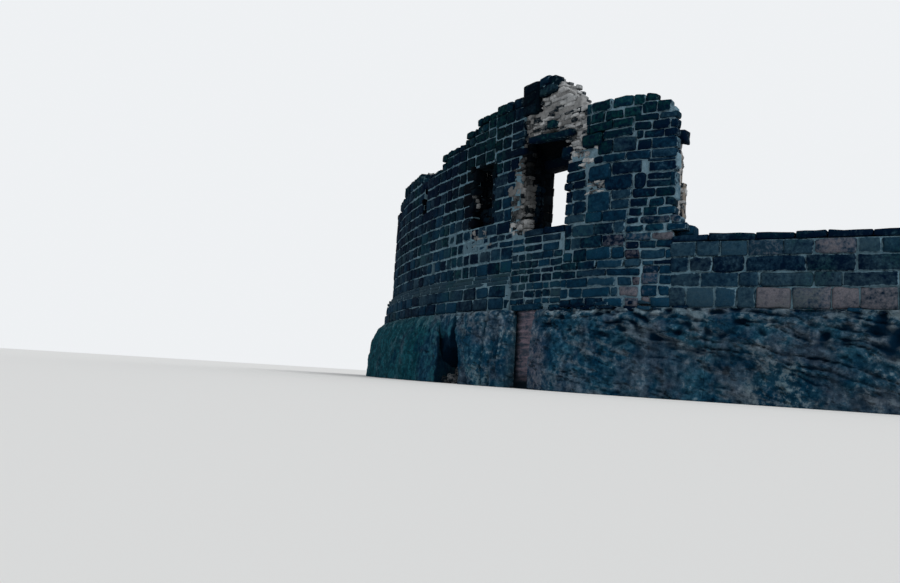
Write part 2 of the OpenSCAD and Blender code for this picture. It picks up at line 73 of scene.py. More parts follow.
class Link:
    """A socket of a node tree. Arithmetic on it adds Math nodes, and make() adds any other node."""

    def __init__(self, tree, socket=None):
        self.tree, self.socket = tree, socket

    def make(self, kind, inputs=(), output=0, **settings):
        node = self.tree.nodes.new(kind)
        for name, value in settings.items():
            setattr(node, name, value)
        for key, value in dict(inputs).items():
            if isinstance(value, Link):
                self.tree.links.new(value.socket, node.inputs[key])
            else:
                node.inputs[key].default_value = value
        return Link(self.tree, node.outputs[output])

    def math(self, operation, *others, clamp=False):
        return self.make("ShaderNodeMath", enumerate((self, *others)), operation=operation, use_clamp=clamp)

    def __add__(self, other):
        return self.math("ADD", other)

    def __sub__(self, other):
        return self.math("SUBTRACT", other)

    def __rsub__(self, other):
        return self.make("ShaderNodeMath", {0: other, 1: self}, operation="SUBTRACT")

    def __mul__(self, other):
        return self.math("MULTIPLY", other)

    def __truediv__(self, other):
        return self.math("DIVIDE", other)

    __radd__ = __add__
    __rmul__ = __mul__

    def clamp(self):
        return self.math("ADD", 0.0, clamp=True)

    def past(self, level, gain=1.0):
        """0 up to the level, then rising at that rate to 1."""
        rise = self - level
        return (rise if gain == 1.0 else rise * gain).clamp()

    def over(self, low, high):
        """0 up to low, 1 from high, and smooth between."""
        return self.make("ShaderNodeMapRange", {0: self, 1: low, 2: high}, interpolation_type="SMOOTHSTEP")

    def blend(self, first, second):
        """The first colour where this is 0 and the second where it is 1."""
        first, second = [v if isinstance(v, Link) else (*v, 1.0) for v in (first, second)]
        return self.make("ShaderNodeMix", {0: self, 6: first, 7: second}, 2, data_type="RGBA")

    def parts(self):
        split = self.make("ShaderNodeSeparateXYZ", {0: self}).socket.node
        return [Link(self.tree, output) for output in split.outputs]

    def vector(self, operation, *others, output=0):
        return self.make("ShaderNodeVectorMath", enumerate((self, *others)), output, operation=operation)

    def scaled(self, share):
        """This colour or vector times a number."""
        return self.make("ShaderNodeVectorMath", {0: self, "Scale": share}, operation="SCALE")


def material(name):
    made = bpy.data.materials.new(name)
    made.use_nodes = True
    return made, made.node_tree.nodes["Principled BSDF"].inputs


bpy.ops.mesh.primitive_plane_add(size=2 * floor_size)
ground = bpy.context.object
ground.name = "floor"
floor_material, sockets = material("pale_floor")
sockets["Base Color"].default_value = (*floor_color, 1.0)
sockets["Roughness"].default_value = 0.95
ground.data.materials.append(floor_material)

world = bpy.data.worlds.new("daylight")
world.use_nodes = True
bpy.context.scene.world = world
sky = world.node_tree.nodes["Background"].inputs
seen = Link(world.node_tree).make("ShaderNodeLightPath", output="Is Camera Ray")
sky["Color"].default_value = (*sky_color, 1.0)
world.node_tree.links.new((seen * (1.0 - sky_light) + sky_light).socket, sky["Strength"])

lamp_data = bpy.data.lights.new("soft_lamp", "SUN")
lamp_data.energy, lamp_data.angle = lamp_power, lamp_width
lamp = bpy.data.objects.new("soft_lamp", lamp_data)
lamp.rotation_euler = lamp_turn
bpy.context.collection.objects.link(lamp)

# The wall's line
# The outer face runs straight on from the curtain wall, bends bluntly back, sweeps round in one
# long curve, and turns in on itself at its rounded end. A place on it is s along the face, d
# behind it and z up, all in metres.
straight_len, bend_len, sweep_len, end_radius, return_len = 1.1, 1.6, 18.5, 2.1, 5.2
bend_turn, sweep_turn, end_turn = radians(21.5), radians(28), radians(88)
curtain_len, curtain_t = 8.8, 0.9
wall_t = 1.30
sweep_s = straight_len + bend_len
round_s = sweep_s + sweep_len
return_s = round_s + end_radius * end_turn
finish_s = return_s + return_len


def turned(s):
    """How far the face has turned from the curtain wall's line, in radians."""
    bend = min(max((s - straight_len) / bend_len, 0.0), 1.0) * bend_turn
    sweep = min(max((s - sweep_s) / sweep_len, 0.0), 1.0) * sweep_turn
    return bend + sweep + min(max((s - round_s) / end_radius, 0.0), end_turn)


def on_arc(start, length, first, last):
    """End of an arc of that length, whose heading goes from one turn to another."""
    r = length / (last - first)
    return (start[0] + r * (sin(first) - sin(last)), start[1] + r * (cos(first) - cos(last)))


def on_face(s):
    stretches = (
        (straight_len, bend_len, bend_turn),
        (sweep_s, sweep_len, sweep_turn),
        (round_s, return_s - round_s, end_turn),
    )
    p = (-min(s, straight_len), 0.0)
    for start, length, turn in stretches:
        if s > start:
            first = turned(start)
            run = min(s - start, length)
            p = on_arc(p, run, first, first + turn * run / length)
    if s > return_s:
        p = (p[0] - (s - return_s) * cos(turned(s)), p[1] + (s - return_s) * sin(turned(s)))
    return p


def lay(s, d, z=0.0):
    x, y = on_face(s)
    return Vector((x + d * sin(turned(s)), y + d * cos(turned(s)), z))


# Stone finishes
# The dressed blocks are red sandstone under a black crust of soot, with green
# growth near the wet tops and brown where the crust has flaked away.
lime, soot_black = (0.118, 0.205, 0.262), (0.0006, 0.0011, 0.0018)
growth_low, growth_high = 6.5, 9.4
stone_shine = 0.03


def surface(name):
    """A new material, its shader's sockets, and the place on the piece that its patterns follow."""
    made, sockets = material(name)
    return made, sockets, Link(made.node_tree).make("ShaderNodeTexCoord", output="Object")


def reads(place, *names):
    """The values that the points of a piece carry under those names."""
    return [place.make("ShaderNodeAttribute", output="Fac", attribute_name=name) for name in names]


def ripple(place, scale, detail=3.0, rough=0.55, stretch=(1.0, 1.0, 1.0), offset=0.0):
    """Noise at a place, from 0 to 1, at so many lumps a metre."""
    if offset or stretch != (1.0, 1.0, 1.0):
        inputs = {"Vector": place, "Location": (offset,) * 3, "Scale": stretch}
        place = place.make("ShaderNodeMapping", inputs)
    inputs = {"Vector": place, "Scale": scale, "Detail": detail, "Roughness": rough}
    return place.make("ShaderNodeTexNoise", inputs)


def shade(sockets, color, roughness, height, depth):
    """Joins colour, roughness and a bump of that depth in metres to the shader."""
    bump = color.make("ShaderNodeBump", {"Height": height, "Strength": 1.0, "Distance": depth})
    for label, link in (("Base Color", color), ("Roughness", roughness), ("Normal", bump)):
        link.tree.links.new(link.socket, sockets[label])
    sockets["Specular IOR Level"].default_value = stone_shine


def stone_finish(name, crust, worn, dulled, flaked, growth, bare):
    """Sandstone block: crust and worn colours by each stone's tone, duller on some, with flaked
    and bare patches, growth, and smeared lime."""
    made, sockets, place = surface(name)
    tone, red, limed, soot, rim, dull = reads(place, "tone", "red", "lime", "soot", "rim", "dull")
    patch = ripple(place, 2.4, 4.0, offset=3.1)
    mottle = ripple(place, 9.0, 5.0, 0.62, offset=7.7)
    speck = ripple(place, 30.0, 4.0, 0.65, offset=5.0)
    sand = ripple(place, 95.0, 2.0, 0.7)
    wet = ripple(place, 0.45, 3.0, offset=11.0)
    light = (tone * 0.85 + patch * 0.8 + mottle * 1.1).past(1.22, 1.9)
    color = light.blend(crust, (dull + (mottle - 0.5) * 1.2).clamp().blend(worn, dulled))
    color = ((mottle * 0.8 + patch * 0.6 + speck * 0.5).past(1.08, 6.0) * 0.8).blend(color, flaked)
    color = ((red * 0.9 + mottle * 1.2 + patch * 0.7).past(1.45, 2.4) * 0.85).blend(color, bare)
    top = place.parts()[2].over(growth_low, growth_high) * 0.16
    mossy = (wet + top).past(0.52, 6.0) * mottle.past(0.40, 4.5) * 0.5
    color = mossy.blend(color, growth)
    color = (sand * 0.7 + speck * 0.9).past(0.35).blend(color.scaled(0.45), color.scaled(1.75))
    # Each stone darkens towards its rounded edges: painted shade where it turns into the joints.
    color = (rim * 0.6 + mottle * 0.5 - 0.72).over(0.0, 0.16).blend(color, color.scaled(0.62))
    color = ((rim * 0.9 + mottle * 0.8 + limed * 0.5).past(1.58, 6.0) * 0.85).blend(color, lime)
    # Where a stone's soot value is high it turns near-black: soot on the outer face and tops, painted shade
    # inside the openings.
    color = soot.blend(color, soot_black)
    shade(sockets, color, 0.98 - light * 0.14, mottle * 0.5 + speck * 0.4 + sand * 0.12, 0.022)
    return made


dark_stone = stone_finish(
    "sooted_sandstone",
    crust=(0.0003, 0.0056, 0.0180),
    worn=(0.0036, 0.0310, 0.0640),
    dulled=(0.0240, 0.0520, 0.0740),
    flaked=(0.022, 0.054, 0.086),
    growth=(0.004, 0.050, 0.042),
    bare=(0.118, 0.112, 0.130),
)

# Mortar and bed
# Behind and between the blocks lies pale lime mortar, packed with grit. It is
# the CAD's own solid of each layer, seen in the open joints.
mended_at = lay(9.4, 0.0, 5.0)


def distance(place, spot, counts):
    """How far a place is from a spot, with each axis counted so many times."""
    return place.vector("SUBTRACT", spot).vector("MULTIPLY", counts).vector("LENGTH", output="Value")


def mortar_finish(name, bed, dirt, dirty, mended=None):
    """Mortar with dirt in patches. Round the mended place, if there is one, it is clean."""
    made, sockets, place = surface(name)
    big = ripple(place, 0.8, 3.0, offset=2.0)
    mid = ripple(place, 7.0, 4.0, 0.6)
    grit = ripple(place, 55.0, 3.0, 0.7, offset=4.0)
    stain = big * 0.8 + mid * 0.8 - (1.12 - 0.5 * dirty)
    if mended:
        stain = stain + distance(place, mended, (0.28, 0.28, 0.70)).over(0.5, 1.3) * 0.45 - 0.30
    color = (stain * 4.0).clamp().blend(bed, dirt)
    color = (grit * 1.2 + mid * 1.6).past(0.90).blend(color.scaled(0.42), color.scaled(1.45))
    shade(sockets, color, 0.92 + grit * 0.07, mid * 0.8 + grit * 0.3, 0.05)
    return made


def finish_nodes(start, made):
    """Gives their finish to the CAD nodes whose names start so, which show between the stones."""
    for name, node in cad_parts.items():
        if name.startswith(start):
            for slot in node.material_slots:
                slot.link = "DATA"
                slot.material = made


lime_mortar = mortar_finish("lime_mortar", (0.145, 0.238, 0.300), (0.009, 0.046, 0.080), 0.46)
dark_mortar = mortar_finish(
    "sooted_mortar", (0.150, 0.258, 0.325), (0.009, 0.046, 0.082), 0.36, mended=mended_at
)
inner_mortar = mortar_finish("inner_mortar", (0.20, 0.18, 0.16), (0.08, 0.070, 0.062), 0.4)

# Cut blocks
# Every block in the wall is squared by hand: edges worn round, faces uneven.
# Each is one point with its size, turn and wear, and Geometry Nodes cut it.
on_edge, beside_edge = 0.4, 0.2


def block_tree():
    """The tree that cuts a worn block at each point. Its cube has rows of vertices on each edge,
    beside it and between, and each row is moved to where the rounding of the edge needs it."""
    tree = bpy.data.node_groups.new("cut_blocks", "GeometryNodeTree")
    kinds = {
        "Places": "Geometry", "Edge radius": "Float", "Unevenness": "Float",
        "Roughness": "Float", "Round back": "Float", "Finish": "Material",
    }
    for label, kind in kinds.items():
        tree.interface.new_socket(label, in_out="INPUT", socket_type="NodeSocket" + kind)
    tree.interface.new_socket("Stones", in_out="OUTPUT", socket_type="NodeSocketGeometry")
    entry = tree.nodes.new("NodeGroupInput")
    given = {label: Link(tree, entry.outputs[label]) for label in kinds}
    start = Link(tree)

    def read(name, kind="FLOAT"):
        return start.make("GeometryNodeInputNamedAttribute", {"Name": name}, data_type=kind)

    def store(shape, name, value, kind):
        inputs = {"Geometry": shape, "Name": name, "Value": value}
        return start.make("GeometryNodeStoreNamedAttribute", inputs, data_type=kind)

    grid = {"Size": (1.0, 1.0, 1.0), "Vertices X": 6, "Vertices Y": 3, "Vertices Z": 5}
    cube = start.make("GeometryNodeMeshCube", grid)
    position = start.make("GeometryNodeInputPosition")
    cube = store(cube, "unit", position, "FLOAT_VECTOR")
    x, _, z = [part.math("ABSOLUTE") for part in position.parts()]
    cube = store(cube, "rim", x.math("MAXIMUM", z) * 2, "FLOAT")
    stones = start.make("GeometryNodeInstanceOnPoints", {"Points": given["Places"], "Instance": cube})
    stones = start.make("GeometryNodeRealizeInstances", {"Geometry": stones})
    unit = read("unit", "FLOAT_VECTOR").parts()
    size = read("size", "FLOAT_VECTOR").parts()
    wear = read("wear")
    radius = given["Edge radius"] * (wear * 1.6 + 0.5)
    corner, inner = [], []
    for axis in range(3):
        half = size[axis] * 0.5
        r = radius.math("MINIMUM", half * 0.45)
        far = unit[axis].math("ABSOLUTE")
        side = unit[axis].math("SIGN")
        edge = far.math("GREATER_THAN", on_edge)
        near = far.math("GREATER_THAN", beside_edge)
        if axis == 1:
            back = unit[axis].math("GREATER_THAN", beside_edge)
            flat = 1 - given["Round back"]
            front = (1 - edge) * (r - half) * flat
            corner.append(edge * side * half + front)
            inner.append(back * (half - r * given["Round back"]) + (edge - back) * (r - half) + front)
        else:
            spot = edge * half + (1 - edge) * (near * (half - r) + (1 - near) * half * far * 3.3)
            corner.append(spot * side)
            inner.append(spot.math("MINIMUM", half - r) * side)
    corner, inner = [start.make("ShaderNodeCombineXYZ", enumerate(parts)) for parts in (corner, inner)]
    out = corner.vector("SUBTRACT", inner)
    length = out.vector("LENGTH", output="Value")
    most = out.vector("ABSOLUTE").parts()
    largest = most[0].math("MAXIMUM", most[1]).math("MAXIMUM", most[2])
    local = inner.vector("ADD", out.scaled(largest / length.math("MAXIMUM", 1e-5)))
    seed = read("seed") * 31.7
    at = local.vector("ADD", start.make("ShaderNodeCombineXYZ", {0: seed, 1: seed * 0.37, 2: seed * 0.71}))
    for scale, amount in ((2.1, given["Unevenness"]), (8.0, given["Roughness"])):
        bump = start.make("ShaderNodeTexNoise", {"Vector": at, "Scale": scale, "Detail": 2.0}, "Color")
        bump = bump.vector("SUBTRACT", (0.5, 0.5, 0.5)).vector("MULTIPLY", (1.0, 0.55, 1.0))
        local = local.vector("ADD", bump.scaled(amount * (wear + 0.5) * 2.0))
    turn = {"Vector": local, "Rotation": read("turn", "FLOAT_VECTOR")}
    local = start.make("ShaderNodeVectorRotate", turn, rotation_type="EULER_XYZ")
    local = local.vector("ADD", read("at", "FLOAT_VECTOR"))
    stones = start.make("GeometryNodeSetPosition", {"Geometry": stones, "Position": local})
    stones = start.make("GeometryNodeSetShadeSmooth", {"Geometry": stones})
    stones = start.make("GeometryNodeSetMaterial", {"Geometry": stones, "Material": given["Finish"]})
    tree.links.new(stones.socket, tree.nodes.new("NodeGroupOutput").inputs["Stones"])
    return tree


cut_blocks = block_tree()


def placed(name, mesh):
    made = bpy.data.objects.new(name, mesh)
    bpy.context.collection.objects.link(made)
    return made


def settled(source, name):
    """Takes an object with its modifiers away and returns its result as a plain mesh."""
    bpy.context.view_layer.update()
    whole = bpy.data.meshes.new_from_object(source.evaluated_get(bpy.context.evaluated_depsgraph_get()))
    bpy.data.objects.remove(source)
    whole.name = name
    return whole


def lookup(x, table):
    """Straight-line value between the points of a table."""
    for (x0, y0), (x1, y1) in zip(table, table[1:]):
        if x <= x1:
            return y0 + (y1 - y0) * min(max((x - x0) / (x1 - x0), 0.0), 1.0)
    return table[-1][1]


def stepped(x, value, *steps):
    """The value, or that of the last step that x has reached."""
    for reached, then in steps:
        if x >= reached:
            value = then
    return value


def levels(z, high, count):
    """The bottom and top of each of so many courses from z up."""
    return [(z + k * high, z + (k + 1) * high) for k in range(count)]


class Masonry:
    """Stones gathered for one piece: each is laid by s, z, size, and how far it stands proud."""

    def __init__(self, name, seed, **settings):
        self.name, self.rng, self.stones = name, random.Random(seed), []
        self.face, self.base, self.joint, self.proud, self.deep = 1, 0.0, 0.034, 0.038, 0.24
        self.wear, self.lime, self.soot, self.dull = 0.4, 0.45, 0.0, (-0.5, 0.8)
        self.red_at, self.lime_at, self.soot_at = (), (), ()
        self.paler_low = ((3.4, 1.0), (5.4, 0.7), (7.2, 0.0))
        self.__dict__.update(settings)

    def stone(
        self, s0, s1, z0, z1, proud=None, deep=None, tone=None, red=0.0, wear=None, tilt=0.0, soot=None
    ):
        """One stone. What isn't given is as the piece has it; its tone is random, paler low down."""
        rng = self.rng
        mid, up = (s0 + s1) / 2, (z0 + z1) / 2

        def away(s, z, wide, high):
            return ((mid - s) / wide) ** 2 + ((up - z) / high) ** 2

        for patch in self.red_at:
            if away(*patch) < 1:
                red = rng.uniform(0.45, 1.0)
        limed = self.lime
        for *patch, much in self.lime_at:
            limed += much * exp(-away(*patch))
        # A stone's soot value is soot on the outer face and painted shade inside the openings.
        soot = self.soot if soot is None else soot
        for *patch, much in self.soot_at:
            soot += much * exp(-away(*patch)) * (1 - soot) * rng.uniform(0.7, 1.1)
        if tone is None:
            tone = 0.62 * rng.random() + 0.38 * lookup(up, self.paler_low)
        proud = (self.proud if proud is None else proud) + rng.uniform(-0.012, 0.014)
        deep = self.deep if deep is None else deep
        out = self.base + (deep / 2 - proud) * self.face
        turn = -turned(mid) + (0 if self.face > 0 else pi)
        self.stones.append({
            "at": lay(mid, out, up),
            "size": (max(s1 - s0 - self.joint, 0.05), deep, max(z1 - z0 - self.joint, 0.03)),
            "turn": (rng.gauss(0, 0.008), tilt + rng.gauss(0, 0.010), turn + rng.gauss(0, 0.010)),
            "wear": min(max(rng.gauss(self.wear if wear is None else wear, 0.2), 0.05), 1.2),
            "tone": tone,
            "red": red,
            "lime": limed * rng.uniform(0.6, 1.3),
            "soot": min(soot, 1.0),
            "seed": rng.uniform(0, 40),
            "dull": rng.uniform(*self.dull),
        })

    def chunk(self, s0, s1, d0, d1, z0, z1, **looks):
        """A stone given by its depths, in place of how proud it stands."""
        base, self.base = self.base, d0
        self.stone(s0, s1, z0, z1, proud=0.0, deep=d1 - d0, **looks)
        self.base = base

    def course(self, s0, s1, z0, z1, least, most, ends=(0.0, 0.0), **looks):
        """One course from s0 to s1, cut into stones of random length, that runs out past its ends."""
        cuts, s = [s0 - ends[0]], s0
        while s1 - s > 1.55 * most:
            s += self.rng.uniform(least, most)
            cuts.append(s)
        parts = max(1, round((s1 - s) / ((least + most) / 2)))
        cuts += [s + (s1 - s) * (k + self.rng.uniform(-0.12, 0.12)) / parts for k in range(1, parts)]
        cuts.append(s1 + ends[1])
        for a, b in zip(cuts, cuts[1:]):
            low = z0 + self.rng.uniform(-0.008, 0.008)
            self.stone(a, b, low, z1 + self.rng.uniform(-0.008, 0.008), **looks)

    def rubble(
        self, s0, s1, z0, z1, d, thick=(0.07, 0.17), wide=(0.16, 0.42), deep=0.2, miss=0.1, top=None, **looks
    ):
        """Rough thin beds of small stones over a patch, some fallen out. top(s) may cut it off."""
        rng, z = self.rng, z0
        while z < z1 - 0.03:
            high = rng.uniform(*thick)
            s = s0 + rng.uniform(-0.12, 0.03)
            while s < s1 - 0.05:
                long = rng.uniform(*wide)
                crown = top(s + long / 2) if top else z1 + 0.1
                low = z + rng.uniform(-0.03, 0.03)
                if low < crown - 0.03 and rng.random() > miss:
                    front = (d(z) if callable(d) else d) - rng.uniform(-0.02, 0.045)
                    self.chunk(
                        s, s + long, front, front + deep, low, min(low + high, crown + 0.04),
                        tilt=rng.gauss(0.02, 0.04), wear=rng.uniform(0.4, 1.0), tone=rng.random(), **looks
                    )
                s += long * rng.uniform(0.9, 1.02)
            z += high * 0.96

    def broken(
        self, s, way, d0, d1, z0, z1,
        thick=(0.10, 0.22), run=(0.14, 0.34), into=0.22, lean=0.0, jut=(-0.04, 0.03), **looks
    ):
        """Rough stones up an end or a reveal at s, that look along the wall: way is 1 where the
        masonry ends there and -1 where it begins. lean moves the top along the wall."""
        rng, z = self.rng, z0
        while z < z1 - 0.04:
            high = rng.uniform(*thick)
            d = d0 + rng.uniform(-0.04, 0.02)
            at = s + lean * (z - z0) / (z1 - z0)
            while d < d1 - 0.04:
                deep = rng.uniform(*run)
                out = rng.uniform(*jut)
                a, b = (at - into, at + out) if way > 0 else (at - out, at + into)
                self.chunk(
                    a, b, d, min(d + deep, d1 + 0.03), z, min(z + high, z1 + 0.03),
                    wear=rng.uniform(0.4, 1.0), tone=rng.random(), **looks
                )
                d += deep
            z += high * 0.97

    def build(self, finish, edge=0.042, uneven=0.062, rough=0.030, back=0.0):
        """Cuts the gathered stones as one piece."""
        points = bpy.data.meshes.new(self.name)
        points.from_pydata([stone["at"] for stone in self.stones], [], [])
        for label in self.stones[0]:
            rows = [stone[label] for stone in self.stones]
            if isinstance(rows[0], float):
                points.attributes.new(label, "FLOAT", "POINT").data.foreach_set("value", rows)
            else:
                flat = [n for row in rows for n in row]
                points.attributes.new(label, "FLOAT_VECTOR", "POINT").data.foreach_set("vector", flat)
        source = placed(self.name + "_source", points)
        modifier = source.modifiers.new("nodes", "NODES")
        modifier.node_group = cut_blocks
        settings = {
            "Edge radius": edge, "Unevenness": uneven, "Roughness": rough, "Round back": back,
            "Finish": finish,
        }
        for item in cut_blocks.interface.items_tree:
            if item.in_out == "INPUT" and item.name in settings:
                modifier[item.identifier] = settings[item.name]
        made = placed(self.name, settled(source, self.name))
        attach(made, "root")
        return made


# Bedrock
# The walls stand on living sandstone, hewn back to a scarp. Its beds dip to the
# right and are pitted by the weather; the mass under the rounded end is a dome.
bed_z = 2.6
rock_ledge, plinth_out, rock_foot, rock_end_foot = 0.12, 0.28, 0.62, 1.10
niche_s, niche_end, infill_end = 4.87, 6.22, 6.52
cleft_s, cleft_end, rock_joint_s = 9.5, 10.9, -1.2
rock_back, rock_batter = 1.75, 0.15
fresh_at = lay(4.5, -0.55, 0.9)


def fractal(point, scale, octaves=4):
    """Noise of several octaves, about -0.5 to 0.5."""
    return noise.fractal(point * scale, 1.0, 2.0, octaves) * 0.45


def plain_mesh(name, rings, **values):
    """A closed mesh from rings of points, with a face on the first ring and one on the last, that
    carries a value for each point under each name."""
    mesh = bmesh.new()
    rings = [[mesh.verts.new(p) for p in ring] for ring in rings]
    for a, b in zip(rings, rings[1:]):
        for j in range(len(a)):
            k = (j + 1) % len(a)
            mesh.faces.new((a[j], b[j], b[k], a[k]))
    mesh.faces.new(rings[0])
    mesh.faces.new(rings[-1][::-1])
    bmesh.ops.recalc_face_normals(mesh, faces=mesh.faces)
    data = bpy.data.meshes.new(name)
    mesh.to_mesh(data)
    mesh.free()
    for label, row in values.items():
        data.attributes.new(label, "FLOAT", "POINT").data.foreach_set("value", row)
    data.shade_smooth()
    made = placed(name, data)
    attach(made, "root")
    return made


def rock_line(s, t):
    """Depth and height of the scarp at s, where t runs from its foot, 0, to the walls' bed, 1. It
    is cut back beside the recess and beside the cleft."""
    ledge = lookup(s, ((niche_end, rock_ledge), (infill_end, plinth_out + rock_ledge)))
    foot = lookup(s, ((niche_end, rock_foot), (round_s, rock_end_foot)))
    if s < 5.0:
        foot -= 0.26 * exp(-(((s - niche_s) / 0.75) ** 2))
    elif s < 9.6:
        foot -= 0.34 * exp(-(((s - cleft_s) / 0.6) ** 2))
    share = lookup(t, ((0.0, 1.0), (0.3, 0.92), (0.6, 0.72), (0.82, 0.34), (0.9, 0.06), (1.0, 0.0)))
    height = lookup(t, ((0.0, 0.0), (0.3, 0.34), (0.6, 0.66), (0.82, 0.9), (0.9, 0.985), (1.0, 1.0)))
    return -ledge - share * (foot - ledge), height * bed_z


def cleft_line(s, t):
    """The same where the cleft is: its floor and back, then an uneven arch, and the rock over it."""
    depth = lookup(t, ((0.0, 0.55), (0.45, 0.46), (0.58, -0.56), (0.82, -0.52), (0.92, -0.44), (1.0, -0.40)))
    height = lookup(t, ((0.0, 0.0), (0.45, 0.46), (0.58, 0.54), (0.82, 0.86), (0.92, 0.99), (1.0, 1.0)))
    arch = 0.05 * noise.noise(Vector((s * 1.6, 0.0, 5.0))) - 0.22 * ((s - 9.78) / 0.62) ** 2
    height += max(arch, -0.26) * min(1.0, t * 2.2) * min(1.0, (1 - t) * 2.4)
    return depth, height * bed_z


# Tops and relief of the beds of rock, from below its foot to over its top.
bed_rng = random.Random(8)
bed_tops, bed_outs = [-6.0], [0.0]
while bed_tops[-1] < 6.0:
    bed_tops.append(bed_tops[-1] + bed_rng.choice((0.11, 0.16, 0.24, 0.38)) * bed_rng.uniform(0.8, 1.2))
    bed_outs.append(bed_rng.uniform(-1.0, 1.0))


def weathering(s, z, at):
    """How far the scarp stands out from its line, and how much painted shade its hollows get: dipping
    beds with cracks between them, rows of pits, hewn upright faces in the middle, a smooth dome at the left."""
    right = lookup(s, ((-2.0, 1.0), (3.0, 0.8), (5.0, 0.55), (9.0, 0.35), (12.0, 0.10)))
    middle = lookup(s, ((5.5, 0.0), (6.5, 1.0), (12.0, 0.7), (14.0, 0.0)))
    slope = lookup(z, ((0.6, 0.20), (2.4, 0.10))) * lookup(s, ((4.0, 1.0), (8.0, 0.2)))
    q = z - slope * s + 0.30 * fractal(at, 0.8, 3)
    k = min(max(bisect(bed_tops, q), 1), len(bed_tops) - 1)
    edge = min(q - bed_tops[k - 1], bed_tops[k] - q)
    opened = max(0.0, 0.55 + 1.6 * noise.noise(Vector((s * 0.9, q * 3.0, 7.0))))
    crack = max(0.0, 1.0 - edge / 0.030) * opened
    face = bed_outs[k] * min(1.0, edge / 0.035)
    pitted = lookup(z, ((0.5, 0.15), (1.3, 0.5), (1.9, 1.3), (2.5, 1.3)))
    pits = max(0.0, noise.noise(Vector((s * 2.7, q * 6.0, 3.3))) - 0.03) * pitted
    ribs = abs(noise.noise(Vector((s * 1.25, z * 0.22, 4.0)))) * 2.0
    groove = max(0.0, 1.0 - ribs * 4.5)
    lumps = fractal(at, 3.0, 4)
    out = 0.20 * fractal(at, 0.62, 3) + 0.070 * lumps + 0.045 * fractal(at, 8.0, 4)
    out += right * (0.055 * face - 0.085 * crack - 0.24 * pits) + middle * (0.10 * ribs - 0.12 * groove)
    return out, right * (1.1 * crack + 2.2 * pits) + middle * 0.45 * groove - 1.0 * lumps - 0.12


def lip(s, z, t):
    """How far the scarp leans along the wall beside the cleft, as its two lips bulge over it."""
    along = 0.0
    for edge, bulge in ((cleft_s, -0.30), (cleft_end, -0.70)):
        uneven = 0.55 * fractal(Vector((edge, 0.0, z)), 1.6)
        near = max(0.0, 1.0 - abs(s - edge) / 0.7)
        along += near * (bulge * min(1.0, 1.6 * (1 - t)) + uneven) * min(1.0, 5 * (1 - t))
    return along


def rock(name, s0, s1, line, step, rows):
    """One length of the scarp as a closed mesh: its front in relief, its bed, back and foot plain."""
    columns = max(2, ceil((s1 - s0) / step))
    rings, hollows, backs = [], [], []
    for i in range(columns + 1):
        s = s0 + (s1 - s0) * i / columns
        ring = []
        inside = 1.0 - min(1.0, 0.15 + min(i, columns - i) * 0.25)
        for j in range(rows + 1):
            t = j / rows
            d, z = line(s, t)
            at = lay(s, d, z)
            out, hollow = weathering(s, z, at)
            out *= min(1.0, (1 - t) * 9.0)
            z += 0.04 * fractal(at, 2.0) * min(1.0, t * 6) * min(1.0, (1 - t) * 9.0)
            along = 0.05 * fractal(at, 2.7) * inside
            # The cut beside the cleft gets painted shade, as dark as its inside.
            if z < 1.75 and min(abs(s - cleft_s), abs(s - cleft_end)) < 0.05:
                hollow = 0.95
            if line is cleft_line:
                out *= 0.7
                # Inside the cleft the low rock gets more painted shade.
                hollow += lookup(z, ((1.5, 1.3), (1.9, 0.3), (2.3, 0.0)))
            else:
                along += lip(s, z, t)
            ring.append(lay(s + along, d - out, z))
            hollows.append(hollow)
            backs.append(0.0)
        half_way = rock_back + rock_batter * 0.5
        for d, z in ((0.3, bed_z), (rock_back, bed_z), (half_way, bed_z / 2), (rock_back + rock_batter, 0.0)):
            worn = 0.12 * fractal(lay(s, d, z), 0.9, 3) if d == half_way else 0.0
            ring.append(lay(s, d + worn, z))
            hollows.append(0.0)
            backs.append(float(d > 0.5))
        rings.append(ring)
    return plain_mesh(name, rings, hollow=hollows, back=backs)


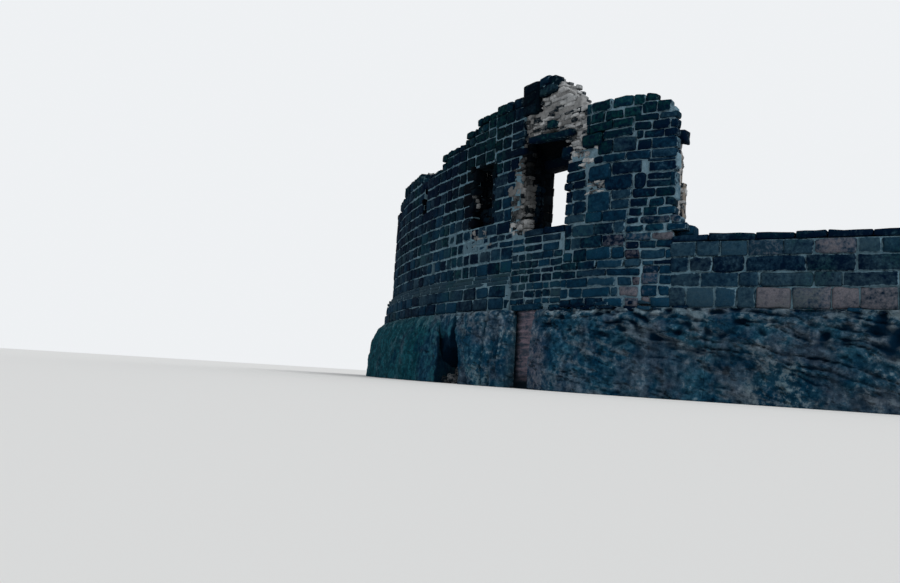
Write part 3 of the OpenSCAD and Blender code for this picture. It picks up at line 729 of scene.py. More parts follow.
def rock_finish(crust, teal, brown, pale, moss, mauve, blush, earth, clay, hollow_dark):
    """Bedded sandstone: crust and teal weathering, brown beds, pale and mossy patches, a painted highlight
    on its top edge, a blush of fresh stone beside the recess, painted shade in pits, cracks and hollows,
    and earth on the face toward the hill."""
    made, sockets, place = surface("crusted_bedrock")
    hollow, back = reads(place, "hollow", "back")
    big = ripple(place, 0.50, 3.0, offset=1.0)
    mid = ripple(place, 1.7, 5.0, 0.60, offset=6.0)
    fine = ripple(place, 5.5, 6.0, 0.64)
    sand = ripple(place, 26.0, 5.0, 0.7)
    x, y, height = place.parts()
    dipped = place.make("ShaderNodeCombineXYZ", {0: x, 1: y, 2: height + x * 0.22})
    beds = ripple(dipped, 1.0, 5.0, 0.62, stretch=(0.7, 0.7, 2.6), offset=2.0)
    drift = ripple(place, 0.95, 4.0, 0.6, offset=15.0)
    pits = ripple(dipped, 3.4, 4.0, 0.6, stretch=(0.8, 0.8, 2.0), offset=9.0)
    left = (x * -1.0 + (mid - 0.5) * 5.0).over(6.0, 13.0)
    color = (mid * 1.2 + fine * 0.9).past(0.85, 3.0).blend(crust, teal)
    bedded = beds * 1.3 + fine * 0.6 + mid * 0.5 - 1.22 - left * 0.3
    color = ((bedded * 5.0).clamp() * 0.85).blend(color, brown)
    bleached = big * 0.7 + fine * 0.9 + mid * 0.6 - 1.20 - left * 0.15
    color = ((bleached * 6.0).clamp() * 0.75).blend(color, pale)
    # The scarp's top edge is painted paler: a painted highlight where it faces up.
    crest_edge = (height - 2.38) * 4.0 + (mid - 0.5) * 9.0 + (fine - 0.5) * 6.0
    color = (crest_edge.clamp() * 0.4).blend(color, pale)
    mossy = left * 0.5 + big * 0.9 + mid * 0.9 + (fine - 0.5) * 0.9
    color = (mossy.past(1.10, 4.0) * 0.70).blend(color, moss)
    color = (((drift + fine * 0.5 - 0.70 - left * 0.10) * 5.0).clamp() * 0.60).blend(color, mauve)
    lichen = (left * 0.7 + 0.3) * (mid * 0.7 + fine * 0.6).past(0.62, 7.0)
    color = lichen.blend(color.scaled(0.80), color.scaled(1.35))
    color = ((x * -1.0).over(0.0, 4.0) * (1.0 - left * 0.8)).blend(color, color.scaled(1.45))
    fresh = (1.4 - distance(place, fresh_at, (1.3, 1.3, 0.9)) + (mid - 0.5) * 2.0).clamp()
    color = (fresh * (fine * 3.0 - 0.9).clamp() * 0.8).blend(color, blush)
    color = (sand * 0.9 + fine * 1.3).past(0.62).blend(color.scaled(0.35), color.scaled(1.9))
    color = (back * (0.6 + fine * 0.5)).clamp().blend(color, mid.blend(earth, clay))
    # Rows of dark blotches along the beds: painted shade in pits.
    color = ((pits - 0.54 - left * 0.05) * 9.0).clamp().blend(color, color.scaled(0.38))
    # Painted shade in the hollows, cracks and pits, and inside the cleft.
    color = (hollow * 1.0).clamp().blend(color, hollow_dark)
    shade(sockets, color, 0.98 - mid * 0.10, mid * 0.3 + fine * 0.6 + sand * 0.25, 0.08)
    return made


crusted_rock = rock_finish(
    crust=(0.0014, 0.0280, 0.0620),
    teal=(0.0160, 0.0640, 0.1020),
    brown=(0.0740, 0.1020, 0.1260),
    pale=(0.180, 0.225, 0.250),
    moss=(0.0030, 0.0520, 0.0660),
    mauve=(0.058, 0.074, 0.100),
    blush=(0.100, 0.092, 0.118),
    earth=(0.014, 0.020, 0.022),
    clay=(0.110, 0.108, 0.090),
    hollow_dark=(0.0006, 0.0105, 0.0260),
)
fine_mesh, coarse_mesh = (0.042, 58), (0.09, 34)
for name, s0, s1, line, density in (
    ("curtain", -curtain_len, rock_joint_s, rock_line, fine_mesh),
    ("right", rock_joint_s, niche_s, rock_line, fine_mesh),
    ("middle", niche_end, cleft_s, rock_line, fine_mesh),
    ("cleft", cleft_s, cleft_end, cleft_line, fine_mesh),
    ("left", cleft_end, round_s, rock_line, fine_mesh),
    ("end", round_s, return_s, rock_line, coarse_mesh),
    ("return", return_s, finish_s, rock_line, coarse_mesh),
):
    scarp = rock("scarp_" + name, s0, s1, line, *density)
    scarp.data.materials.append(crusted_rock)
    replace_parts(scarp, "rock_" + name)


# Recess in the rock
# Under the great window a door-sized recess is cut into the scarp. Its back is
# fresh red sandstone that weathers in thin beds, under a lintel stone.
def red_finish(dull, fresh, damp, shadow, foot):
    made, sockets, place = surface("fresh_red_beds")
    beds = ripple(place, 1.4, 5.0, 0.6, stretch=(0.8, 0.8, 7.0))
    mid = ripple(place, 3.0, 4.0, offset=3.0)
    fine = ripple(place, 22.0, 4.0, 0.65)
    x, _, height = place.parts()
    color = (beds * 0.6 + mid * 0.6).past(0.50, 4.0).blend(dull, fresh)
    color = (mid + fine * 0.5).past(0.72, 5.0).blend(color, damp)
    inward = (x * -1.0 + (mid - 0.5) * 0.5).over(-lay(5.7, 0)[0], -lay(6.15, 0)[0])
    color = inward.blend(color, shadow)
    color = (height * -1.0).over(-0.60, -0.15).blend(color, foot)
    shade(sockets, color, 0.95 - mid * 0.05, beds * 0.8 + fine * 0.25, 0.04)
    return made


red_beds = red_finish(
    dull=(0.050, 0.066, 0.094),
    fresh=(0.330, 0.245, 0.290),
    damp=(0.040, 0.072, 0.100),
    shadow=(0.0016, 0.0070, 0.0130),
    foot=(0.006, 0.012, 0.018),
)
columns, rows = 35, 72
rings, backs = [], []
for i in range(columns + 1):
    s = niche_s + (niche_end - niche_s) * i / columns
    side = min(1.0, i * 0.3, (columns - i) * 0.3)
    ring = []
    for j in range(rows + 1):
        z = bed_z * j / rows
        at = lay(s, 0.12, z)
        ridge = abs(((z * 4.7 + 0.9 * fractal(at, 1.3)) % 1.0) - 0.5) * 2.0
        out = side * (0.07 * ridge + 0.10 * fractal(at, 2.4) + 0.03 * fractal(at, 9.0))
        ring.append(lay(s, 0.10 - out, z))
    rings.append(ring + [lay(s, rock_back, bed_z), lay(s, rock_back, 0.0)])
    backs += [float(i == columns)] * len(rings[-1])
recess = plain_mesh("recess_back", rings, back=backs)
recess.data.materials.append(red_beds)
recess.data.materials.append(crusted_rock)
behind_y = lay(6.2, 1.5)[1]
for face in recess.data.polygons:
    nearest = min(recess.data.vertices[v].co.y for v in face.vertices)
    face.material_index = int(len(face.vertices) == 4 and nearest > behind_y)
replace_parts(recess, "niche_back")

# Plinth and offsets
# Two courses of long blocks stand proud of the wall, with their weathered top
# arrises, and three thin courses step back from them to the wall's own face.
plinth_h, offset_h, course_h, top_course_h = 0.45, 0.14, 0.465, 0.35
plinth_z = bed_z + 2 * plinth_h
face_z = plinth_z + 3 * offset_h
finish_nodes(("plinth", "offset"), dark_mortar)
plinth = Masonry("plinth_blocks", 11, wear=0.5, lime=0.35, proud=0.045, deep=0.32)
for (z0, z1), out in zip(levels(bed_z, plinth_h, 2), (plinth_out, 0.22)):
    plinth.base = -out
    plinth.course(infill_end, return_s, z0, z1 + 0.012, 0.75, 1.25, ends=(0.02, 0.0))
plinth.build(dark_stone, edge=0.055, uneven=0.07)
offsets = Masonry(
    "offset_slabs", 12, wear=0.6, joint=0.016, lime=0.7, dull=(0.5, 1.1), proud=0.022, deep=0.28
)
for k, (z0, z1) in enumerate(levels(plinth_z, offset_h, 3)):
    offsets.base = 0.06 * (k + 2) - plinth_out
    offsets.course(infill_end, return_s, z0, z1 + 0.016, 0.9, 1.8, ends=(0.02, 0.0), tone=0.95)
offsets.build(dark_stone, edge=0.05, uneven=0.035, rough=0.02)

# Facing, right pier
# The pier beside the curtain wall is the best kept: courses of many heights, with wide pale
# joints, a thicker foot, and a few red stones that lost their crust. Each bed of stones is given
# by its bottom and top, then where its upright joints stand, as they were read off.
left_courses = 11
wall_top = face_z + left_courses * course_h
low_top = wall_top - course_h
crown_z = wall_top + top_course_h
mid_top = wall_top + 2 * top_course_h
window_s, window_end = 3.8, 5.87
loop_s, loop_end, loop_face_z, loop_foot_z = 8.02, 9.47, 5.78, 5.80
slot_s, slot_end, slot_sill_z, slot_head_z = 14.38, 14.84, 7.12, 8.25
sill_top, lintel_z, arch_z = 5.34, 8.30, 8.16

finish_nodes("face", dark_mortar)
finish_nodes(("face_right", "face_infill"), lime_mortar)

right_pier = Masonry("facing_of_right_pier", 31, lime=0.58, joint=0.027, dull=(-0.8, 0.55))
right_pier.red_at = (
    (0.5, 5.19, 0.6, 0.16), (0.6, 4.72, 0.5, 0.16), (1.15, 4.35, 0.45, 0.36), (0.6, 3.45, 0.40, 0.30),
    (0.75, 3.0, 0.5, 0.35), (1.5, 4.7, 0.4, 0.2),
)
beds = (
    (8.80, 9.055, 0.56, 0.92, 1.30), (8.70, 9.075, 1.30, 2.03, 2.84, 3.05), (8.43, 8.79, 0.17, 0.56, 1.02),
    (8.37, 8.69, 1.02, 1.58, 2.28, 2.84, 3.05), (8.21, 8.42, -0.02, 0.50, 1.25),
    (8.07, 8.36, 1.26, 1.95, 2.85, 3.03), (7.92, 8.20, -0.02, 0.14, 0.70, 1.24), (7.78, 8.06, 1.25, 2.31),
    (7.66, 7.91, -0.03, 0.32, 0.96, 1.16), (7.31, 7.77, 1.15, 1.94, 2.50), (7.33, 7.65, -0.03, 0.68, 1.13),
    (7.05, 7.32, -0.03, 0.68, 1.45), (7.05, 7.30, 1.46, 2.27, 2.62), (6.95, 7.04, 0.0, 0.8),
    (6.64, 7.03, 0.94, 1.92), (6.62, 6.94, -0.03, 0.74), (6.19, 6.62, -0.03, 0.09),
    (6.40, 6.61, 0.10, 0.80), (6.18, 6.39, 0.10, 0.80), (6.18, 6.61, 0.81, 1.20), (6.18, 6.62, 1.22, 2.18),
    (5.88, 6.16, -0.03, 0.52, 1.22, 1.92), (5.60, 5.87, -0.03, 0.23, 0.72, 1.30, 1.92),
    (5.53, 6.15, 1.94, 2.84), (5.32, 5.58, -0.03, 0.44, 0.88, 1.33), (5.22, 5.56, 1.34, 2.20, 2.90),
    (5.08, 5.31, 0.10, 0.98, 1.38), (4.84, 5.20, 1.40, 1.77, 2.50, 3.42), (4.84, 5.07, 0.20, 0.80, 1.39),
    (4.59, 4.82, 0.0, 0.60, 1.39), (4.46, 4.82, 1.40, 2.16, 3.04, 3.48),
    (4.36, 4.58, 0.0, 0.45, 0.95, 1.39), (4.04, 4.44, 1.40, 1.83, 2.80, 3.38),
    (4.02, 4.34, 0.0, 0.15, 0.92, 1.39), (3.86, 4.01, 0.0, 0.48, 0.84), (3.58, 3.85, 0.0, 0.32, 0.84),
    (3.28, 3.64, 0.32, 0.84), (3.28, 3.57, 0.0, 0.31), (2.93, 3.27, 0.0, 0.36, 0.84),
    (2.60, 2.92, 0.0, 0.55, 0.84), (6.98, 7.30, 3.10, 3.82), (6.66, 6.96, 2.98, 3.84),
    (6.38, 6.63, 2.92, 3.48, 3.92), (6.00, 6.36, 2.90, 3.52, 3.80), (5.56, 5.98, 2.92, 3.42, 3.86),
    (5.30, 5.56, 2.92, 3.82), (4.86, 5.28, 3.44, 3.80), (4.44, 4.84, 3.50, 3.80), (4.05, 4.40, 3.40, 3.82),
)
laid = []
for low, high, *cuts in beds:
    # The stones at the broken end stick out a little past it.
    cuts[0] -= stepped(cuts[0], 0.07, (0.12, 0.04), (0.2, 0.0))
    laid += [[a, b, low, high] for a, b in zip(cuts, cuts[1:])]
for stone in laid:
    # A stone with a small gap under it comes down onto the stones below.
    a, b, low, _ = stone
    below = [other for other in laid if other[3] < low + 0.06]
    under = [top for c, d, _, top in below if min(d, b) - max(c, a) > 0.12]
    if under and 0.0 < low - max(under) < 0.22:
        stone[2] = max(under)
for a, b, low, high in laid:
    right_pier.stone(a, b, low, high, deep=0.36 if a < 0.4 or b > 3.7 or high > 8.6 else 0.2)
for a, b, low, high, proud in (
    (2.32, 3.12, 7.62, 8.04, 0.15), (1.95, 2.78, 6.50, 7.02, 0.10), (-0.28, 0.09, 5.08, 5.31, 0.03),
    (-0.44, 0.19, 4.84, 5.07, 0.03), (3.66, 4.16, 7.48, 7.88, 0.02), (-0.06, 0.3, 7.45, 7.68, 0.02),
):
    right_pier.stone(a, b, low, high, proud=proud, deep=0.40, wear=0.8)
right_pier.base = -0.10
for low, high, *cuts in (
    (3.77, 4.03, 0.85, 1.36, 2.3, 3.05, 3.8), (3.52, 3.76, 0.85, 1.9, 3.1, 3.8),
    (3.22, 3.51, 0.85, 1.08, 1.56, 2.6, 3.5, 3.8), (2.90, 3.21, 0.85, 1.5, 1.75, 2.8, 3.4, 3.8),
    (2.60, 2.89, 0.85, 1.3, 2.0, 2.7, 3.3, 3.8),
):
    for a, b in zip(cuts, cuts[1:]):
        right_pier.stone(a, b, low, high)
right_pier.build(dark_stone, edge=0.048, uneven=0.070)

# Levelling stones
# Small flat stones, wedged in with little mortar, level up the uneven ledge of
# rock under the walls' lowest blocks.
levelling = Masonry("levelling_stones", 35, joint=0.012, lime=0.5)
for s0, s1, top, d in ((-8.75, 0.1, 2.64, -0.09), (-0.1, 4.86, 2.66, -0.16)):
    levelling.rubble(s0, s1, 2.52, top, d, thick=(0.08, 0.13), wide=(0.16, 0.5), deep=0.22, miss=0.4)
levelling.build(dark_stone, edge=0.05, uneven=0.10, rough=0.05)

# Facing under the great window
# The space under the window was filled in later with smaller stones, in thin
# uneven courses and plenty of mortar, with six long blocks at its head.
infill = Masonry("infill_stones", 32, joint=0.034, lime=0.6)
for a, b, low, high, proud in (
    (4.90, 5.86, 4.82, 5.08, 0.03), (3.98, 4.89, 4.82, 5.07, 0.03), (5.88, 6.50, 4.84, 5.07, None),
    (4.86, 5.80, 4.56, 4.80, None), (4.04, 4.84, 4.50, 4.79, None), (5.82, 6.50, 4.58, 4.82, None),
):
    infill.stone(a, b, low, high, proud=proud)
z, head_z = bed_z + 0.19, 4.52
shares = (0.20, 0.28, 0.24, 0.29, 0.19, 0.27, 0.25)
stretch = (head_z - z) / sum(shares)
for share in shares:
    infill.course(3.84, infill_end, z, z + share * stretch, 0.34, 0.68)
    z += share * stretch
infill.build(dark_stone, edge=0.038, uneven=0.06)

# Facing, middle pier
# Between the two windows the wall rises by steps to its highest point, where
# big dark blocks still lie on the rubble beside the peak.
sooty = (
    (9.4, 7.1, 0.8, 1.35, 0.9), (10.0, 7.3, 0.7, 1.2, 0.6), (5.9, 8.7, 0.6, 1.0, 0.7),
    (5.9, 10.0, 0.7, 0.6, 0.6), (7.4, 8.9, 1.3, 1.0, 0.5), (11.2, 7.4, 0.8, 0.7, 0.4),
)
middle = Masonry("facing_of_middle_pier", 33, joint=0.040, soot_at=sooty)
middle.lime_at = (
    (8.5, 4.7, 2.5, 0.8, 0.4), (8.7, 5.2, 0.9, 0.34, 1.7), (6.5, 5.5, 0.4, 0.3, 1.5),
)
for s0, z0, z1, least, most in (
    (infill_end, face_z, face_z + course_h, 0.62, 0.86), (infill_end, face_z + course_h, 4.86, 0.58, 0.84),
    (infill_end, 4.86, 5.09, 0.5, 0.9), (infill_end, 5.09, sill_top, 0.4, 0.7),
    (6.75, sill_top, loop_face_z, 0.55, 0.85),
):
    middle.course(s0, loop_end, z0, z1, least, most)
for k, (z0, z1) in enumerate(levels(loop_face_z, (mid_top - loop_face_z) / 9, 9)):
    right = lookup(z0, ((5.8, 6.72), (7.0, 6.52), (7.9, 6.30))) + 0.08 * (k % 2)
    if k > 4:
        right = 6.22 if k > 6 else 6.95
    left = loop_s - 0.10 * (k % 2) + 0.03
    middle.course(right, left, z0, z1 + (0.03 if k == 8 else 0), 0.46, 0.78, deep=0.3)
middle.course(6.42, loop_s, mid_top, 10.14, 0.42, 0.66, deep=0.5, wear=0.7)
for a, b, low, high, proud, deep, wear, tilt in (
    (5.98, 7.14, 7.97, 8.26, 0.11, 0.40, 0.8, 0.04), (6.20, 6.92, 8.28, 8.60, 0.04, 0.36, 0.8, 0.0),
    (6.14, 6.94, 8.62, 8.86, 0.05, 0.36, 0.8, 0.0), (5.55, 6.42, 9.36, 9.74, 0.05, 0.42, 0.9, 0.03),
    (5.58, 6.40, 9.75, 10.10, 0.05, 0.42, 0.9, -0.02), (5.52, 6.34, 10.11, 10.50, 0.05, 0.42, 0.9, 0.03),
    (4.62, 5.50, 9.90, 10.16, 0.05, 0.42, 0.9, -0.06), (4.90, 5.49, 10.19, 10.52, 0.05, 0.42, 0.9, -0.16),
    (4.48, 4.98, 8.62, 8.90, 0.05, 0.42, 0.9, 0.05),
):
    middle.stone(a, b, low, high, proud=proud, deep=deep, wear=wear, tilt=tilt)
middle.chunk(5.42, 6.44, -0.020, 0.37, 9.36, 10.495, tone=0.1, soot=0.3)
middle.chunk(4.64, 5.58, -0.015, 0.39, 10.04, 10.495, tone=0.1, soot=0.3)
middle.build(dark_stone, edge=0.050)

small_head = Masonry("facing_over_small_window", 34, deep=0.34, soot_at=sooty)
for a, b, low, high in (
    (loop_s, loop_end, 8.14, low_top), (loop_s, loop_end, low_top, wall_top),
    (loop_s, loop_end, wall_top, crown_z), (loop_s, 8.59, crown_z, mid_top + 0.03),
):
    small_head.course(a, b, low, high, 0.5, 0.8)
for a, b, low, high in (
    (loop_s, 8.6, mid_top, 10.0), (8.6, loop_end, crown_z, 9.70), (8.6, 9.42, 9.70, 10.0),
):
    small_head.course(a, b, low, high, 0.4, 0.6, deep=0.5, wear=0.7)
small_head.build(dark_stone, edge=0.05)

# Facing, left part
# The long curved face: courses of near-square blocks, each as much as one person lifts,
# bedded in thin mortar, up to the broken top, whose whole courses end one by one.
eleventh_end, tenth_end, ninth_end, eighth_end = 19.1, 20.3, 21.8, 22.3
return_steps = 5
long_pier = Masonry("facing_of_long_pier", 21, lime=0.42, joint=0.046, soot_at=sooty)
long_pier.lime_at = ((10.0, 4.9, 3.4, 1.2, 0.5), (9.6, 5.3, 0.6, 0.4, 1.2), (11.2, 5.5, 0.7, 0.2, 1.1))
for k in range(left_courses + 1):
    z0 = face_z + k * course_h
    z1 = z0 + (course_h if k < left_courses else top_course_h)
    left = slot_s
    if k == left_courses:
        left = 9.62
    elif k == left_courses - 1:
        left = 12.12
    elif z0 < slot_sill_z - 0.1:
        left = slot_end
    # One stone is missing from the second course.
    for a, b in ((loop_end, 12.79), (13.16, left)) if k == 1 else ((loop_end, left),):
        long_pier.course(a, b, z0, z1, 0.50, 0.82)
for a, b, low, high in (
    (loop_end, 9.62, crown_z, 9.66), (9.62, 10.42, wall_top, 9.40), (9.62, 10.38, 9.40, 9.66),
    (10.42, 12.12, wall_top, 9.27), (12.12, 12.68, low_top, 8.92), (12.12, 12.66, 8.92, 9.26),
    (12.70, 14.2, low_top, 8.74),
):
    long_pier.course(a, b, low, high, 0.4, 0.62, deep=0.5, wear=0.75)
long_pier.build(dark_stone, edge=0.052)

end_pier = Masonry("facing_of_end_pier", 22, lime=0.45, joint=0.052)
for k, (z0, z1) in enumerate(levels(face_z, course_h, left_courses)):
    a, b = slot_end, round_s
    if k == 10:
        a, b = 15.5, eleventh_end
    elif k == 9:
        b = tenth_end
    end_pier.course(a, b, z0, z1, 0.55, 0.86, deep=0.4 if k > 7 else 0.22)
end_pier.chunk(15.41, 15.80, -0.03, 0.40, 8.56, 9.07, wear=0.8)
end_pier.build(dark_stone, edge=0.052)

round_end = Masonry("facing_of_round_end", 23)
for k, (z0, z1) in enumerate(levels(face_z, course_h, 9)):
    end = (return_s, eighth_end, ninth_end)[max(k - 6, 0)]
    round_end.course(round_s, end, z0, z1, 0.30 if k == 8 else 0.34, 0.5, deep=0.4 if k > 6 else None)
round_end.build(dark_stone)

back_wall = Masonry("facing_of_return", 24)
step = return_len / return_steps
for k, (z0, z1) in enumerate(levels(face_z, course_h, 7)):
    back_wall.course(return_s, finish_s - (k + 1) // 2 * step, z0, z1, 0.55, 0.9)
for a, b, courses in (
    (14.86, 15.42, 10), (15.42, eleventh_end, 11), (eleventh_end, tenth_end, 10),
    (tenth_end, ninth_end, 9), (ninth_end, eighth_end, 8),
    (eighth_end, finish_s - 3 * step, 7), (finish_s - 3 * step, finish_s - 2 * step, 5),
    (finish_s - 2 * step, finish_s - step, 3), (finish_s - step, finish_s, 1),
):
    top = face_z + courses * course_h
    back_wall.course(a, b, top - 0.16, top + 0.045, 0.4, 0.8, proud=0.026, deep=0.40, wear=0.8)
for z0, z1 in levels(bed_z, (face_z - bed_z) / 3, 3):
    back_wall.course(return_s, finish_s, z0, z1, 0.55, 0.9)
back_wall.build(dark_stone)


# Rubble core
# Between its two skins the wall is rough rubble in lime mortar. It shows where
# the facing is robbed: round the great window, at the broken end, on the tops.
def rubble_finish(name, light, warm, dark):
    made, sockets, place = surface(name)
    tone, soot = reads(place, "tone", "soot")
    mid = ripple(place, 2.1, 4.0, 0.6, offset=1.5)
    fine = ripple(place, 12.0, 5.0, 0.66, offset=8.0)
    grit = ripple(place, 60.0, 3.0, 0.7)
    color = (mid + tone * 0.45).past(0.50, 2.5).blend(light, warm)
    color = (fine + tone * 0.42).past(0.70, 5.0).blend(color, dark)
    color = (grit * 0.8 + fine * 0.8).past(0.4).blend(color.scaled(0.45), color.scaled(1.5))
    # The soot value turns rubble near-black: painted shade inside the openings and under overhangs, and soot
    # on the tops.
    color = soot.blend(color, (0.0010, 0.0016, 0.0022))
    shade(sockets, color, 0.98 - mid * 0.05, fine * 0.7 + grit * 0.25, 0.03)
    return made


pale_rubble = rubble_finish(
    "pale_rubble", light=(0.520, 0.535, 0.545), warm=(0.150, 0.165, 0.176), dark=(0.004, 0.012, 0.020)
)
rubble_bed = rubble_finish(
    "rubble_bed", light=(0.300, 0.306, 0.310), warm=(0.105, 0.114, 0.120), dark=(0.003, 0.008, 0.013)
)


def ragged(name, node, voxel, amount, sooted=(), bites=(), finish=rubble_bed):
    """A core node remade as broken rubble: a merged copy, remeshed, then pushed in and out. Painted shade,
    which lies also on faces that point down, and bites lie round places given by s, d, z, their reach along
    and up, and how deep a bite is."""
    mesh = bmesh.new()
    mesh.from_mesh(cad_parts[node].data)
    bmesh.ops.remove_doubles(mesh, verts=mesh.verts, dist=1e-4)
    data = bpy.data.meshes.new(name)
    mesh.to_mesh(data)
    mesh.free()
    source = placed(name + "_source", data)
    remesh = source.modifiers.new("remesh", "REMESH")
    remesh.mode, remesh.voxel_size = "VOXEL", voxel
    whole = settled(source, name)

    def away(at, s, d, z, wide, high):
        gap = at - lay(s, d, z)
        return Vector((gap.x / wide, gap.y / wide, gap.z / high)).length

    soot = []
    for v, n in [(v, v.normal.copy()) for v in whole.vertices]:
        at = v.co.copy()
        lumps = fractal(Vector((at.x, at.y, at.z * 2.6)), 2.9, 5)
        # Painted shade: near-black on faces that point down, and round the given places inside the openings.
        dark = 0.9 if n.z < -0.25 else 0.0
        for patch in sooted:
            dark = max(dark, 1.25 - away(at, *patch))
        soot.append(min(max(dark * 1.9 + 0.8 * lumps, 0.0), 1.0) if dark > 0 else 0.0)
        push = amount * (2.2 * lumps + 0.7 * fractal(at, 11.0, 3) - 0.25)
        for *patch, deep in bites:
            push -= deep * max(0.0, 1.0 - away(at, *patch))
        v.co = at + n * push
    whole.attributes.new("soot", "FLOAT", "POINT").data.foreach_set("value", soot)
    whole.shade_smooth()
    made = placed(name, whole)
    whole.materials.clear()
    whole.materials.append(finish)
    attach(made, "root")
    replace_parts(made, node)


finish_nodes("core", rubble_bed)
# Places round the inside of both windows that get painted shade.
window_dark = ((5.7, 0.85, 7.4, 0.9, 1.5), (5.95, 0.85, 6.2, 0.6, 1.3), (4.8, 0.90, 8.0, 2.2, 0.75))
peak_bites = ((3.4, 0.95, 9.6, 0.9, 0.8, 0.55), (4.1, 1.0, 10.3, 0.7, 0.6, 0.3))
ragged("broken_peak", "core_peak", 0.040, 0.06, window_dark, peak_bites)
ragged("robbed_right_jamb", "core_right_jamb", 0.040, 0.045)
ragged("core_beside_right_end", "core_right_pier", 0.055, 0.05, bites=((0.0, 0.7, 9.0, 0.6, 0.6, 0.6),))
ragged(
    "bedding_of_right_pier", "face_right_pier", 0.050, 0.012, bites=((0.1, 0.2, 9.1, 0.55, 0.5, 0.6),),
    finish=lime_mortar,
)
ragged("core_beside_window", "core_mid_pier", 0.055, 0.05, window_dark + ((8.8, 0.8, 6.6, 1.2, 0.9),))

# Rubble of the peak and the jambs
# Thin beds of pale stones lie in front of the core where the facing has gone: over the great
# window up to the ragged crest of the peak, down both its sides, and at the broken end.
crest_shape = (
    (-0.4, 0), (-0.28, 0.12), (-0.05, 0.37), (0.06, 0.58), (0.28, 0.8), (0.5, 0.97), (0.77, 1), (1, 0.9),
)
crest_rise, crest_low, peak_z = 1.465, 9.4, 10.5
jamb_step_z, jamb_head_z, rear_d = 6.9, 7.7, 0.66


def crest(s):
    return wall_top + crest_rise * lookup((s - window_s) / (window_end - window_s), crest_shape)


thin_beds = Masonry("rubble_of_peak_and_jambs", 71, joint=0.012)
# Painted shade down the great window's left jamb.
thin_beds.soot_at = ((5.92, 8.0, 0.30, 0.8, 0.9), (5.86, 6.8, 0.14, 1.2, 0.7), (6.4, 8.2, 0.4, 0.9, 0.5))
thin_beds.rubble(
    3.42, 6.28, 8.47, peak_z, lambda z: 0.10 + max(0.0, z - 9.8) * 0.35, top=lambda s: crest(s) - 0.02,
    miss=0.5, thick=(0.06, 0.15), wide=(0.2, 0.6),
)
thin_beds.rubble(3.72, 5.5, crest_low, peak_z, 0.38, top=lambda s: crest(s - 0.08) - 0.02, miss=0.05)
thin_beds.rubble(3.72, 5.9, crest_low, peak_z, 0.60, top=lambda s: crest(s - 0.25) - 0.05, miss=0.05)
thin_beds.rubble(3.10, 5.9, 9.0, 10.4, 0.80, top=lambda s: crest(s - 0.45) - 0.10, miss=0.05)
thin_beds.rubble(3.06, 3.80, 8.07, 9.0, 0.09)
thin_beds.rubble(2.52, 3.80, 7.60, 8.12, 0.08)
thin_beds.rubble(2.54, 3.76, 7.31, 7.62, 0.02, deep=0.12, miss=0.05)
thin_beds.rubble(2.66, 3.08, 6.98, 7.30, 0.0, deep=0.12, miss=0.05)
thin_beds.rubble(2.20, 2.86, 6.16, 6.50, 0.0, deep=0.12, wide=(0.12, 0.3), miss=0.0)
# The last column darkens each patch: painted shade in the robbed hollows beside and under the openings.
for s0, s1, z0, z1, d, wide, thick, deep, miss, soot in (
    (5.84, 6.40, 5.32, 7.60, 0.09, (0.18, 0.50), (0.08, 0.24), 0.20, 0.25, 0.68),
    (5.84, 6.40, 7.60, 9.30, 0.09, (0.18, 0.50), (0.07, 0.18), 0.20, 0.30, 0.45),
    (6.16, 6.72, 5.36, 6.90, 0.00, (0.18, 0.50), (0.08, 0.24), 0.14, 0.15, 0.55),
    (6.16, 6.58, 6.90, 7.95, 0.00, (0.18, 0.45), (0.08, 0.20), 0.14, 0.15, 0.62),
    (5.74, 6.80, 5.20, 5.62, -0.03, (0.20, 0.50), (0.10, 0.20), 0.30, 0.10, 0.10),
    (9.30, 9.60, 6.30, 7.30, 0.02, (0.16, 0.34), (0.10, 0.22), 0.16, 0.50, 0.50),
    (8.00, 9.45, 4.90, 5.62, 0.00, (0.20, 0.50), (0.10, 0.22), 0.10, 0.35, 0.42),
):
    thin_beds.rubble(s0, s1, z0, z1, d, wide=wide, thick=thick, deep=deep, miss=miss, soot=soot)
# Painted shade down both jambs of the great window.
for d, low, high, soot in ((0.36, sill_top, jamb_step_z, 0.66), (0.26, jamb_step_z, jamb_head_z, 0.85)):
    thin_beds.broken(window_end, -1, 0.06, d, low, high, soot=soot, jut=(0.0, 0.08), thick=(0.14, 0.34))
thin_beds.broken(window_s, 1, 0.10, rear_d, 5.3, 8.25, soot=0.7, jut=(-0.03, 0.02))
thin_beds.broken(0.05, -1, 0.36, 1.00, 4.72, 8.2, lean=0.10, thick=(0.10, 0.26))
thin_beds.broken(0.22, -1, 0.40, 1.00, 8.1, 8.62, lean=0.5)
for at, low, high in ((0.02, 4.72, 6.46), (0.16, 6.48, 7.38), (0.30, 7.41, 8.3)):
    thin_beds.broken(at, -1, 0.98, wall_t, low, high, jut=(0.01, 0.05), soot=0.2)
thin_beds.build(pale_rubble, edge=0.036, uneven=0.09, rough=0.055, back=1.0)

# Reveals of the openings
# Behind the robbed face the openings run back between rough stones painted near-black as shade.
# The rear half of the great window is wider and cut clean, with squared stones, painted as dark.
rear_window_end, reveal_d = window_end + 0.28, 1.28
hidden = Masonry("sooted_reveals", 72, joint=-0.012, soot=0.82)
for d0, z0, z1, run, soot in (
    (0.36, sill_top, jamb_step_z, (0.16, 0.3), 0.62), (0.26, jamb_step_z, jamb_head_z, (0.2, 0.3), 0.93),
    (0.08, jamb_head_z, lintel_z, (0.2, 0.3), 0.95),
):
    hidden.broken(window_end, -1, d0, 0.68, z0, z1, run=run, soot=soot, jut=(0.02, 0.06))
for s, way, soot, jut in ((loop_end, -1, 0.88, (0.03, 0.12)), (loop_s, 1, 0.75, (0.02, 0.06))):
    hidden.broken(
        s, way, -0.03, reveal_d, loop_foot_z, arch_z,
        thick=(0.12, 0.30), run=(0.2, 0.5), soot=soot, jut=jut,
    )
